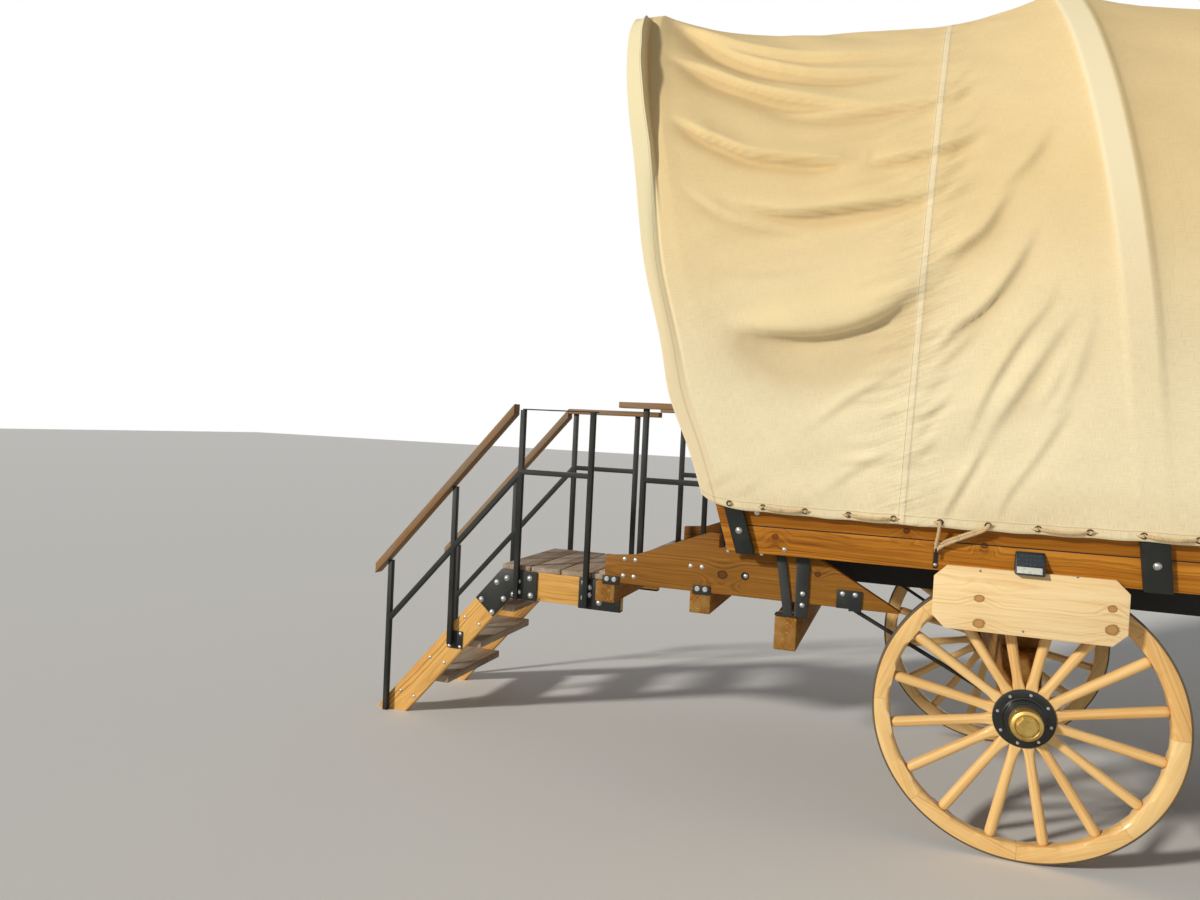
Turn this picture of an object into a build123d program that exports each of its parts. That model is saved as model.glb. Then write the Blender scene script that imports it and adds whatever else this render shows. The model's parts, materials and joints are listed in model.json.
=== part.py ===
from build123d import *
import os
from math import atan, atan2, cos, degrees, hypot, radians, sin, tan

# A full-size covered wagon with a fixed entry porch and stair at its front end.
# Millimetres. X runs along the wagon, porch and stair at -X. -Y is the near side. Z is up, floor at 0.
# The origin is on the floor under the middle of the overall length and width.

# Wheels
wheel_d = 1067
tyre_t = 8
tyre_w = 50
rim_w = 55
rim_depth = 57
rim_chamfer = 8
felloe_count = 8
felloe_gap = 0.6
spoke_count = 16
spoke_d = 40
spoke_root_w = 27
spoke_neck = 45
spoke_shoulder = 15
spoke_thin = 6
spoke_corner = 0.29
spoke_gap = 0.5
hub_plate_d = 215
hub_plate_t = 8
hub_pinch = 44
hub_barrel_d = 96
hub_tail = 52
hub_tail_step = 12
hub_tail_thin = 4
hub_edge = 8
collar_d = 140
collar_t = 32
cap_d = 112
cap_reach = 62
cap_round = 14
seat_gap = 0.3

# Running gear
track = 1385
wheelbase = 3770
spindle_d = 60
spindle_play = 0.05
axle_beam = 80
axle_side_gap = 8
bolster_w = 140
bolster_inset = 20
bolster_step = 60
rail_w = 75
rail_h = 150
rail_wall = 8
rail_half_span = 400
rail_inset = 60
cross_member = 60
cross_member_count = 5

# Box
box_foot_z = 1055
box_half_w = 775
box_flare = 12
side_board_t = 38
side_board_h = 114
side_board_gap = 1
floor_lift = 25
floor_t = 38
floor_board_w = 184
floor_board_gap = 4
board_overhang = 38
end_board_clear = 1

# Bows and cover. Each row: foot from the front axle, lean towards the porch, height of its top, width.
bow_rows = [
    (-1041, 15, 3500, 74),
    (380, 9, 3390, 88),
    (1825, 0, 3330, 88),
    (3270, -9, 3390, 88),
    (4691, -15, 3500, 74),
]
bow_t = 25
bow_belly = 975
haunch_angle = 50
canvas_t = 8
canvas_hem_z = 1235
canvas_lip = 75
canvas_sag = 110
canvas_sag_shares = (0.32, 0.68)

# End walls and door
wall_t = 40
wall_set_back = 90
wall_clear = 4
door_w = 660
door_h = 1700
door_gap = 8
door_sill = 12
doorway_cut = 50
hinge_d = 16
hinge_h = 110
hinge_plate_w = 42
hinge_plate_t = 4
hinge_rows = (180, 850, 1520)
hinge_knuckle_gap = 1

# Porch
hound_t = 38
hound_out = 700
hound_foot_z = 862
hound_nose_x = -1660
hound_nose_z = 976
hound_step_x = -1530
hound_step_z = 988
hound_crest_x = -1215
hound_crest_z = 1110
hound_notch_x = -1165
hound_tail_top_x = -770
hound_tail_x = -450
hound_tail_lip = 8
timber_w = 89
timber_rows = [
    (-1655, 0, 89),
    (-1235, 0, 89),
    (-880, 57, 140),
]
deck_board_t = 38
deck_board_w = 134
deck_gap = 5
hanger_w = 36
hanger_t = 10
hanger_x = -873
hanger_lean = 43
hanger_plate_t = 6
post_steel_x = -822
post_steel_w = 50
stay_plate_w = 95
stay_plate_h = 72
stay_plate_t = 8
stay_plate_x = -640
stay_rod_d = 16
stay_end_inset = 45

# Porch and stair rails
tube = 25
rail_half = 352
rail_mid_z = 1290
rail_top_z = 1622
cap_w = 64
cap_t = 28
porch_post_x = (-1612, -1225)
far_extra_post_x = -1475
porch_cap_from = -1740
porch_cap_to = -1200

# Landing and stair
landing_top = 825
landing_board_t = 25
landing_board_w = 140
landing_beam_h = 140
landing_beam_t = 38
landing_back_x = -1700
landing_front_x = -2329
landing_post_x = (-2240, -1875)
end_plate_w = 214
plate_t = 8
stair_angle = 49
stringer_t = 38
stringer_h = 132
tread_count = 3
tread_deep = 235
tread_t = 38
tread_set = 20
stair_post_x = (-2958, -2597)
handrail_reach = 3035
handrail_top_x = -2277
handrail_angle = 48.5
handrail_t = 35
top_bar_t = 6
stair_mid_drop = 374
gusset_back = 194
gusset_down = 210

# Plaque and lamp
plaque_w = 635
plaque_h = 232
plaque_t = 22
plaque_corner = 45
plaque_x = -20
plaque_top_z = 1083
lamp_w = 98
lamp_h = 83
lamp_depth = 30
lamp_clear = 1
lamp_x = -22
lamp_top_z = 1158

flare = radians(box_flare)
haunch = radians(haunch_angle)
wheel_r = wheel_d / 2
rim_r = wheel_r - tyre_t
rim_in_r = rim_r - rim_depth
rear_lean = radians(-bow_rows[-1][1])


def bow_arch(lean, top_z):
    """Radii and centres of one bow's inner line, in its own leaning plane."""
    turn = atan(tan(flare) * cos(lean))
    top = (top_z - box_foot_z) / cos(lean)
    foot_share = (bow_belly - box_half_w) / tan(turn)
    arc_share = sin(turn) - (1 - cos(turn)) / tan(turn)
    crown_share = (1 - sin(haunch)) / cos(haunch)
    haunch_share = sin(haunch) - (1 - cos(haunch)) * crown_share
    haunch_r = (top - foot_share - bow_belly * crown_share) / (arc_share + haunch_share)
    belly_s = foot_share + haunch_r * arc_share
    crown_r = (bow_belly - haunch_r * (1 - cos(haunch))) / cos(haunch)
    crown_s = belly_s + (haunch_r - crown_r) * sin(haunch)
    return turn, haunch_r, belly_s, crown_r, crown_s


def bow_half_path(arch, out, start_z, lean):
    """Points of half a bow line moved outwards: hem or foot, haunch arc, crown arc."""
    turn, haunch_r, belly_s, crown_r, crown_s = arch
    leg = (start_z - box_foot_z) / cos(lean) / cos(turn)
    foot = (box_half_w + leg * sin(turn) + out * cos(turn), leg * cos(turn) - out * sin(turn))

    def haunch_point(angle):
        u = bow_belly - haunch_r + (haunch_r + out) * cos(angle)
        return (u, belly_s + (haunch_r + out) * sin(angle))

    def crown_point(angle):
        return ((crown_r + out) * cos(angle), crown_s + (crown_r + out) * sin(angle))

    low = haunch_point(-turn)
    side = haunch_point((haunch - turn) / 2)
    shoulder = haunch_point(haunch)
    high = crown_point((haunch + radians(90)) / 2)
    top = crown_point(radians(90))
    return foot, low, side, shoulder, high, top


def band_face(plane, arch, inner, outer, start_z, lean):
    """A closed arch band between two offsets of one bow line."""
    edges = []
    feet = []
    for out in (inner, outer):
        foot, low, side, shoulder, high, top = bow_half_path(arch, out, start_z, lean)
        left = [(-u, s) for u, s in (foot, low, side, shoulder, high)]
        edges.append(Line(foot, low))
        edges.append(ThreePointArc(low, side, shoulder))
        edges.append(ThreePointArc(shoulder, top, left[3]))
        edges.append(ThreePointArc(left[3], left[2], left[1]))
        edges.append(Line(left[1], left[0]))
        feet.append((foot, left[0]))
    edges.append(Line(feet[0][0], feet[1][0]))
    edges.append(Line(feet[0][1], feet[1][1]))
    return plane * make_face(Wire(edges))


def bow_plane(x, lean, push):
    """The plane of a bow, pushed along X."""
    return Plane(origin=(x + push, 0, box_foot_z), x_dir=(0, 1, 0), z_dir=(cos(lean), 0, sin(lean)))


def cover_reach():
    """How far the rear end of the cover passes the rear bow's foot."""
    lean = radians(bow_rows[-1][1])
    arch = bow_arch(lean, bow_rows[-1][2])
    out = bow_t + seat_gap + canvas_t
    return (arch[4] + arch[3] + out) * sin(rear_lean) + bow_rows[-1][3] / 2 + canvas_lip


overall_front = -handrail_reach
overall_rear = bow_rows[-1][0] + cover_reach()
front_axle_x = -(overall_front + overall_rear) / 2
rear_axle_x = front_axle_x + wheelbase
rim_face_y = track / 2 + rim_w / 2


def ax(x):
    """A place measured from the front axle."""
    return front_axle_x + x


def prism_xz(points, y_from, y_to):
    """An outline in the XZ plane drawn out along Y."""
    face = Plane.XZ * make_face(Polyline(*points, close=True))
    return Pos(0, y_from, 0) * extrude(face, y_to - y_from, dir=(0, 1, 0))


def block(x_from, x_to, y_from, y_to, z_from, z_to):
    """A box by its corners."""
    size = (x_to - x_from, y_to - y_from, z_to - z_from)
    middle = ((x_from + x_to) / 2, (y_from + y_to) / 2, (z_from + z_to) / 2)
    return Pos(*middle) * Box(*size)


def both_sides(solids):
    """The same pieces on the near and the far side."""
    return [s for s in solids] + [mirror(s, about=Plane.XZ) for s in solids]


def bar(start, end, width, height, up=(0, 0, 1)):
    """A straight bar of oblong section between two points."""
    a = Vector(*start)
    b = Vector(*end)
    plane = Plane(origin=a, x_dir=Vector(*up).cross(b - a), z_dir=b - a)
    return extrude(plane * Rectangle(width, height), (b - a).length)


nodes = {}


def keep(name, solids):
    """File the solids of one node under its name."""
    nodes[name] = solids if isinstance(solids, list) else [solids]


# Wheel, modelled once about Y with its outer face towards -Y and that face of the rim at y = 0

def ring(r_out, r_in, y_from, y_to):
    disc = Cylinder(r_out, y_to - y_from) - Cylinder(r_in, y_to - y_from)
    return Pos(0, (y_from + y_to) / 2, 0) * Rot(90, 0, 0) * disc


def wheel_tyre():
    side = (rim_w - tyre_w) / 2
    return [ring(wheel_r, rim_r, side, rim_w - side)]


def wheel_felloes():
    c = rim_chamfer
    outline = [
        (rim_r, 0), (rim_r, rim_w), (rim_in_r + c, rim_w),
        (rim_in_r, rim_w - c), (rim_in_r, c), (rim_in_r + c, 0),
    ]
    section = Plane.XY * make_face(Polyline(*outline, close=True))
    gap_angle = degrees(felloe_gap / rim_in_r)
    step = 360 / felloe_count
    felloe = revolve(section, Axis.Y, step - gap_angle)
    return [Rot(0, step * k, 0) * felloe for k in range(felloe_count)]


def wheel_spokes():
    mid = rim_w / 2
    root_r = hub_barrel_d / 2 + seat_gap
    wedge_r = hub_plate_d / 2
    tip_r = rim_in_r - seat_gap - (spoke_d / 2) ** 2 / rim_in_r
    half_step = radians(180 / spoke_count)

    def wedge(r):
        return 2 * r * tan(half_step) - spoke_gap

    def oval(r, width, depth):
        a = width / 2
        b = depth / 2
        outline = []
        for sx, sy in ((1, 1), (-1, 1), (-1, -1), (1, -1)):
            flat = (sx * a, sy * b * (1 - 2 * spoke_corner))
            side = (sx * a * (1 - 2 * spoke_corner), sy * b)
            outline += [flat, side] if sx * sy > 0 else [side, flat]
        plane = Plane(origin=(0, mid, r), x_dir=(1, 0, 0), z_dir=(0, 0, 1))
        return plane * make_face(Polyline(*outline, close=True))

    def square(r, width, depth):
        plane = Plane(origin=(0, mid, r), x_dir=(1, 0, 0), z_dir=(0, 0, 1))
        return plane * Rectangle(width, depth)

    root = loft([square(root_r, wedge(root_r), hub_pinch), square(wedge_r, wedge(wedge_r), hub_pinch)])
    neck_r = wedge_r + spoke_neck
    body = loft([
        oval(wedge_r, spoke_root_w, hub_pinch),
        oval(neck_r, spoke_d - spoke_thin, spoke_d),
        oval(tip_r - spoke_shoulder, spoke_d, spoke_d),
        oval(tip_r, spoke_d - spoke_thin, spoke_d - spoke_thin),
    ], ruled=True)
    spoke = (root + body).clean()
    return [Rot(0, 360 / spoke_count * (k + 0.5), 0) * spoke for k in range(spoke_count)]


def wheel_hub():
    pinch_from = (rim_w - hub_pinch) / 2
    pinch_to = rim_w - pinch_from
    face = pinch_from - hub_plate_t
    back = pinch_to + hub_plate_t
    bore_r = spindle_d / 2 + spindle_play
    barrel_r = hub_barrel_d / 2
    plate_r = hub_plate_d / 2
    collar_r = collar_d / 2
    cap_r = cap_d / 2
    nose = face - collar_t
    tip = nose - cap_reach
    outline = [
        (0, tip), (cap_r - cap_round, tip), (cap_r, tip + cap_round), (cap_r, nose),
        (collar_r - hub_edge, nose), (collar_r, nose + hub_edge), (collar_r, face), (plate_r, face),
        (plate_r, pinch_from), (barrel_r, pinch_from), (barrel_r, pinch_to),
        (plate_r, pinch_to), (plate_r, back), (barrel_r + hub_tail_step, back),
        (barrel_r + hub_tail_thin, back + hub_tail), (bore_r, back + hub_tail), (bore_r, nose), (0, nose),
    ]
    section = Plane.XY * make_face(Polyline(*outline, close=True))
    return [revolve(section, Axis.Y, 360)]


wheel_pieces = {
    "tyre": wheel_tyre(),
    "felloes": wheel_felloes(),
    "spokes": wheel_spokes(),
    "hub": wheel_hub(),
}
wheel_places = {
    "front_near": (front_axle_x, -1),
    "front_far": (front_axle_x, 1),
    "rear_near": (rear_axle_x, -1),
    "rear_far": (rear_axle_x, 1),
}
for place, (x, side) in wheel_places.items():
    turn = Rot(0, 0, 0 if side < 0 else 180)
    spot = Pos(x, side * rim_face_y, wheel_r) * turn
    for piece, solids in wheel_pieces.items():
        keep(f"{piece}_{place}", [spot * s for s in solids])

# Axles with a spindle at each end, and the stacked timbers on them
hub_back = rim_w - (rim_w - hub_pinch) / 2 + hub_plate_t + hub_tail
hub_nose = (rim_w - hub_pinch) / 2 - hub_plate_t - collar_t
beam_half = rim_face_y - hub_back - axle_side_gap
spindle_half = rim_face_y - hub_nose - axle_side_gap
axle_top_z = wheel_r + axle_beam / 2
floor_z = box_foot_z + floor_lift
frame_z = floor_z - rail_h
axles = []
bolsters = []
for x in (front_axle_x, rear_axle_x):
    beam = Pos(x, 0, wheel_r) * Box(axle_beam, 2 * beam_half, axle_beam)
    spindle = Pos(x, 0, wheel_r) * Rot(90, 0, 0) * Cylinder(spindle_d / 2, 2 * spindle_half)
    axles.append(beam + spindle)
    bolster_h = (frame_z - axle_top_z) / 2
    for k in range(2):
        foot = axle_top_z + k * bolster_h
        half = beam_half - bolster_inset - bolster_step * k
        bolsters.append(block(x - bolster_w / 2, x + bolster_w / 2, -half, half,
                              foot, foot + bolster_h))
keep("axles", axles)
keep("bolsters", bolsters)

# Steel frame under the floor
box_front_x = ax(bow_rows[0][0]) - bow_rows[0][3] / 2 - board_overhang
box_rear_x = ax(bow_rows[-1][0]) + bow_rows[-1][3] / 2 + board_overhang
rail_from = box_front_x + rail_inset + side_board_t
rail_to = box_rear_x - rail_inset - side_board_t
rail_solids = []
for side in (-1, 1):
    y = side * rail_half_span
    tube_solid = block(rail_from, rail_to, y - rail_w / 2, y + rail_w / 2, frame_z, floor_z)
    hollow = block(rail_from - rail_wall, rail_to + rail_wall, y - rail_w / 2 + rail_wall, y + rail_w / 2 - rail_wall,
                   frame_z + rail_wall, floor_z - rail_wall)
    rail_solids.append(tube_solid - hollow)
keep("frame_rails", rail_solids)
members = []
inner = rail_half_span - rail_w / 2
for k in range(cross_member_count):
    x = rail_from + cross_member + (rail_to - rail_from - 2 * cross_member) * k / (cross_member_count - 1)
    members.append(block(x - cross_member / 2, x + cross_member / 2, -inner, inner,
                         floor_z - cross_member, floor_z))
keep("cross_members", members)

# Box: floor boards across, flared side boards, leaning end boards
floor_half = box_half_w + floor_lift * tan(flare) - side_board_t / cos(flare) - seat_gap
front_lean = radians(bow_rows[0][1])
end_inset = side_board_t + end_board_clear - floor_lift * tan(front_lean)
floor_from = box_front_x + end_inset
floor_to = box_rear_x - end_inset
pitch = floor_board_w + floor_board_gap
board_count = round((floor_to - floor_from) / pitch)
pitch = (floor_to - floor_from + floor_board_gap) / board_count
keep("floor_boards", [
    block(floor_from + k * pitch, floor_from + (k + 1) * pitch - floor_board_gap,
          -floor_half, floor_half, floor_z, floor_z + floor_t)
    for k in range(board_count)
])
side_plane = Plane(origin=(0, -box_half_w, box_foot_z), x_dir=(1, 0, 0), z_dir=(0, -cos(flare), -sin(flare)))


def side_board(low, high):
    """A board on the near side between two distances up its flared face."""
    shift = tan(front_lean) * cos(flare)
    points = [
        (box_front_x - low * shift, low), (box_rear_x + low * shift, low),
        (box_rear_x + high * shift, high), (box_front_x - high * shift, high),
    ]
    return extrude(side_plane * make_face(Polyline(*points, close=True)), -side_board_t)


upper_low = side_board_h + side_board_gap
upper_high = upper_low + side_board_h
keep("side_boards_lower", both_sides([side_board(0, side_board_h)]))
keep("side_boards_upper", both_sides([side_board(upper_low, upper_high)]))


def end_board(end, low, high, half_from, half_to):
    """A leaning board across one end of the box, between two heights above its foot."""
    x = box_front_x if end < 0 else box_rear_x
    points = [
        (x + end * low * tan(front_lean), box_foot_z + low),
        (x + end * high * tan(front_lean), box_foot_z + high),
        (x + end * high * tan(front_lean) - end * side_board_t, box_foot_z + high),
        (x + end * low * tan(front_lean) - end * side_board_t, box_foot_z + low),
    ]
    return prism_xz(points, half_from, half_to)


end_half = floor_half - floor_lift * tan(flare) - end_board_clear
board_rise = side_board_h * cos(flare)
upper_rise = upper_low * cos(flare)
end_boards = []
for end in (-1, 1):
    end_boards.append(end_board(end, 0, board_rise, -end_half, end_half))
door_half = door_w / 2 + door_gap
end_boards.append(end_board(1, upper_rise, upper_high * cos(flare), -end_half, end_half))
end_boards.append(end_board(-1, upper_rise, upper_high * cos(flare), -end_half, -door_half))
end_boards.append(end_board(-1, upper_rise, upper_high * cos(flare), door_half, end_half))
keep("end_boards", end_boards)

# Bows, and the cover that lies over them and sags between them


def cover_section(x, lean_deg, top_z, push):
    """The cover's band in the plane of a bow, or of a line between two bows."""
    lean = radians(lean_deg)
    inner = bow_t + seat_gap
    return band_face(bow_plane(ax(x), lean, push), bow_arch(lean, top_z), inner, inner + canvas_t,
                     canvas_hem_z, lean)


def between(row, next_row, share):
    """Place, lean and sagging top of the cover, a share of the way from one bow to the next."""
    x, lean_deg, top_z = (a + (b - a) * share for a, b in zip(row[:3], next_row[:3]))
    return x, lean_deg, top_z - canvas_sag


cover_sections = []
for k, (x, lean_deg, top_z, bow_w) in enumerate(bow_rows):
    lean = radians(lean_deg)
    arch = bow_arch(lean, top_z)
    face = band_face(bow_plane(ax(x), lean, -bow_w / 2), arch, seat_gap, bow_t, box_foot_z, lean)
    keep(f"bow_{k + 1}", extrude(face, bow_w, dir=(1, 0, 0)))
    if k > 0:
        for share in canvas_sag_shares:
            cover_sections.append(cover_section(*between(bow_rows[k - 1], bow_rows[k], share), 0))
    front_push = -bow_w / 2 - (canvas_lip if k == 0 else 0)
    rear_push = bow_w / 2 + (canvas_lip if k == len(bow_rows) - 1 else 0)
    for push in (front_push, rear_push):
        cover_sections.append(cover_section(x, lean_deg, top_z, push))
keep("canvas_cover", loft(cover_sections, ruled=True))

# End walls inside the bows, the front one with a doorway
floor_top = floor_z + floor_t
wall_arch = bow_arch(0, bow_rows[1][2] - canvas_sag)
wall_out = -(side_board_t / cos(flare) + wall_clear)
wall_foot = floor_top + wall_out * sin(flare)


def wall_panel(x_from):
    foot, low, side, shoulder, high, top = bow_half_path(wall_arch, wall_out, wall_foot, 0)
    left = [(-u, s) for u, s in (foot, low, side, shoulder, high)]
    edges = [
        Line(left[0], foot), Line(foot, low), ThreePointArc(low, side, shoulder),
        ThreePointArc(shoulder, top, left[3]), ThreePointArc(left[3], left[2], left[1]),
        Line(left[1], left[0]),
    ]
    return extrude(bow_plane(x_from, 0, 0) * make_face(Wire(edges)), wall_t)


front_wall_x = floor_from + wall_set_back
rear_wall_x = floor_to - wall_set_back - wall_t
doorway = block(front_wall_x - door_gap, front_wall_x + wall_t + door_gap, -door_half, door_half,
                floor_top - doorway_cut, floor_top + door_sill + door_h + door_gap)
keep("front_wall", wall_panel(front_wall_x) - doorway)
keep("rear_wall", wall_panel(rear_wall_x))
door_foot = floor_top + door_sill
door_leaf = block(front_wall_x, front_wall_x + wall_t, -door_w / 2, door_w / 2, door_foot, door_foot + door_h)
hinge_x = front_wall_x + wall_t + hinge_d / 2
hinge_y = door_w / 2 + door_gap / 2
plate_from = front_wall_x + wall_t
hinges = []
for z in hinge_rows:
    low = door_foot + z
    leaf_plate = block(plate_from, plate_from + hinge_plate_t, hinge_y - hinge_plate_w, hinge_y, low, low + hinge_h)
    pivot = Pos(hinge_x, hinge_y, low + hinge_h / 4) * Cylinder(hinge_d / 2, hinge_h / 2)
    room = block(plate_from, plate_from + hinge_d, hinge_y - hinge_d, hinge_y, low + hinge_h / 2, low + hinge_h)
    door_leaf += pivot + (leaf_plate - room)
    wall_plate = block(plate_from, plate_from + hinge_plate_t, hinge_y, hinge_y + hinge_plate_w,
                       low + hinge_h / 2 + hinge_knuckle_gap, low + hinge_h)
    top_half = (hinge_h / 2 - hinge_knuckle_gap)
    wall_knuckle = Pos(hinge_x, hinge_y, low + hinge_h - top_half / 2) * Cylinder(hinge_d / 2, top_half)
    hinges.append(wall_plate + wall_knuckle)
keep("door", door_leaf)
keep("door_hinges", hinges)

# Porch: shaped planks each side, cross timbers under them, deck boards between
hound_top_z = box_foot_z - side_board_gap
hound_points = [
    (ax(hound_nose_x), hound_foot_z), (ax(hound_tail_x), hound_foot_z),
    (ax(hound_tail_x), hound_foot_z + hound_tail_lip), (ax(hound_tail_top_x), hound_top_z),
    (ax(hound_notch_x), hound_top_z), (ax(hound_notch_x), hound_crest_z),
    (ax(hound_crest_x), hound_crest_z), (ax(hound_step_x), hound_step_z),
    (ax(hound_nose_x), hound_nose_z),
]
hound_in = hound_out - hound_t
keep("hounds", both_sides([prism_xz(hound_points, -hound_out, -hound_in)]))
timbers = []
for x, drop, height in timber_rows:
    top = hound_foot_z - drop
    timbers.append(block(ax(x) - timber_w / 2, ax(x) + timber_w / 2, -hound_out, hound_out, top - height, top))
keep("porch_timbers", timbers)
deck_from = ax(timber_rows[0][0]) - timber_w / 2
deck_to = box_front_x - deck_gap
deck_half = hound_in - seat_gap
deck_count = round((deck_to - deck_from) / (deck_board_w + deck_gap))
deck_pitch = (deck_to - deck_from + deck_gap) / deck_count
keep("porch_deck", [
    block(deck_from + k * deck_pitch, deck_from + (k + 1) * deck_pitch - deck_gap,
          -deck_half, deck_half, hound_foot_z, hound_foot_z + deck_board_t)
    for k in range(deck_count)
])

# Iron under the porch: hangers and plates at the rear timber, plates and stay rods to the axle
iron = []
big_top = hound_foot_z - timber_rows[2][1]
hang_x = ax(hanger_x)
plate = block(ax(timber_rows[2][0]) - timber_w / 2, ax(timber_rows[2][0]) + timber_w / 2,
              -hound_out - hanger_t - seat_gap, -hound_in, big_top, big_top + hanger_plate_t)
hanger_points = [
    (hang_x - hanger_w / 2, big_top + hanger_plate_t), (hang_x + hanger_w / 2, big_top + hanger_plate_t),
    (hang_x + hanger_w / 2 - hanger_lean, floor_z), (hang_x - hanger_w / 2 - hanger_lean, floor_z),
]
hanger = prism_xz(hanger_points, -hound_out - hanger_t - seat_gap, -hound_out - seat_gap)
post = block(ax(post_steel_x) - post_steel_w / 2, ax(post_steel_x) + post_steel_w / 2,
             -hound_out - hanger_t, -hound_out, big_top + hanger_plate_t, floor_z)
foot_tab = block(ax(timber_rows[2][0]), ax(post_steel_x) + post_steel_w / 2,
                 -hound_out - hanger_t, -hound_in, big_top, big_top + hanger_plate_t)
iron.append(plate + foot_tab + hanger + post)
stay_z = hound_foot_z + stay_plate_h / 2
stay_plate = block(ax(stay_plate_x) - stay_plate_w / 2, ax(stay_plate_x) + stay_plate_w / 2,
                   -hound_out - stay_plate_t, -hound_out,
                   hound_foot_z, hound_foot_z + stay_plate_h)
tab = block(ax(stay_plate_x), ax(stay_plate_x) + stay_plate_w / 2, -hound_out, -hound_in,
            hound_foot_z - stay_plate_t, hound_foot_z)
lip = block(ax(stay_plate_x), ax(stay_plate_x) + stay_plate_w / 2, -hound_out - stay_plate_t, -hound_out,
            hound_foot_z - stay_plate_t, hound_foot_z)
rod_start = (ax(stay_plate_x) + stay_plate_w / 4, -(hound_out + hound_in) / 2, hound_foot_z - stay_plate_t)
rod_end = (front_axle_x - axle_beam / 2, -beam_half + stay_end_inset, wheel_r)
rod_plane = Plane(origin=rod_start, z_dir=Vector(*rod_end) - Vector(*rod_start))
rod_length = (Vector(*rod_end) - Vector(*rod_start)).length
rod = extrude(rod_plane * Circle(stay_rod_d / 2), rod_length)
rod_space = block(ax(hound_tail_top_x), front_axle_x - axle_beam / 2, -hound_out, 0, 0,
                  hound_foot_z - stay_plate_t / 2)
iron.append(stay_plate + tab + lip + (rod & rod_space))
keep("porch_iron", both_sides(iron))

# Rails beside the porch: steel posts with a mid rail, and wooden caps
deck_z = hound_foot_z + deck_board_t


def rail_frame(side, posts, foot_z, from_x, to_x):
    y = side * rail_half
    frame = block(from_x, to_x, y - tube / 2, y + tube / 2, rail_mid_z - tube / 2, rail_mid_z + tube / 2)
    for x in posts:
        frame += block(ax(x) - tube / 2, ax(x) + tube / 2, y - tube / 2, y + tube / 2, foot_z, rail_top_z)
    return frame


porch_frames = []
porch_caps = []
for side in (-1, 1):
    posts = porch_post_x if side < 0 else porch_post_x + (far_extra_post_x,)
    porch_frames.append(rail_frame(side, posts, deck_z, ax(porch_post_x[0]), ax(porch_cap_to)))
    porch_caps.append(block(ax(porch_cap_from), ax(porch_cap_to), side * rail_half - cap_w / 2,
                            side * rail_half + cap_w / 2, rail_top_z, rail_top_z + cap_t))
keep("porch_rails", porch_frames)
keep("porch_rail_caps", porch_caps)

# Landing hung on the front timber, with the stair in front of it
stair_a = radians(stair_angle)
beam_top = landing_top - landing_board_t
beam_out = rail_half - tube / 2 - plate_t
beam_in = beam_out - landing_beam_t
keep("landing_beams", both_sides([
    block(ax(landing_front_x), ax(landing_back_x), -beam_out, -beam_in, beam_top - landing_beam_h, beam_top)
]))
board_total = landing_back_x - landing_front_x
landing_count = round(board_total / (landing_board_w + deck_gap))
landing_pitch = (board_total + deck_gap) / landing_count
keep("landing_boards", [
    block(ax(landing_front_x) + k * landing_pitch, ax(landing_front_x) + (k + 1) * landing_pitch - deck_gap,
          -beam_out, beam_out, beam_top, landing_top)
    for k in range(landing_count)
])

# Stringers run down from the landing beams and are cut level at the floor
top_x = ax(landing_front_x)
foot_x = top_x - beam_top / tan(stair_a)


def slope_z(x, above):
    """Height of a line that follows the stair, a given distance above the stringers' top edge."""
    return beam_top + (x - top_x) * tan(stair_a) + above


lower_edge = stringer_h / cos(stair_a)
foot_back_x = foot_x + lower_edge / tan(stair_a)
beam_foot = beam_top - landing_beam_h
stringer_points = [
    (foot_x, 0), (foot_back_x, 0),
    (top_x - seat_gap, slope_z(top_x - seat_gap, -lower_edge)),
    (top_x - seat_gap, slope_z(top_x - seat_gap, 0)),
]
keep("stair_stringers", both_sides([prism_xz(stringer_points, -beam_out, -beam_in)]))
riser = landing_top / (tread_count + 1)
treads = []
for k in range(1, tread_count + 1):
    z = riser * k
    nose = foot_x + (z - tread_set) / tan(stair_a)
    treads.append(block(nose, nose + tread_deep, -beam_in + seat_gap, beam_in - seat_gap, z - tread_t, z))
keep("stair_treads", treads)

# Bolted steel plates that join stringer, landing beam and timber
low_x = top_x - gusset_down * cos(stair_a)
low_z = beam_top - gusset_down * sin(stair_a)
gusset_points = [
    (top_x + gusset_back, beam_top), (top_x + gusset_back, beam_foot),
    (foot_x + (beam_foot + lower_edge) / tan(stair_a), beam_foot),
    (low_x + stringer_h * sin(stair_a), low_z - stringer_h * cos(stair_a)),
    (low_x, low_z), (top_x, beam_top),
]
plates = [prism_xz(gusset_points, -beam_out - plate_t, -beam_out)]
end_plate = block(ax(landing_back_x) - end_plate_w, ax(landing_back_x), -beam_out - plate_t, -beam_out,
                  beam_foot, beam_top)
shelf = block(ax(landing_back_x) - end_plate_w, ax(landing_back_x), -beam_out - plate_t, -beam_in,
              beam_foot - plate_t, beam_foot)
plates.append(end_plate + shelf)
keep("stair_plates", both_sides(plates))

# Stair rails: steel posts and mid rails, with wooden handrails
stair_frames = []
handrails = []
hand_a = radians(handrail_angle)
post_half = tube / 2
top_rail_x = ax(handrail_top_x)
low_rail_x = front_axle_x - handrail_reach
hand_deep = handrail_t / cos(hand_a)


def hand_z(x, drop):
    """Height of a line that follows the handrail, a given drop below its top."""
    return rail_top_z - (top_rail_x - x) * tan(hand_a) - drop


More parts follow.
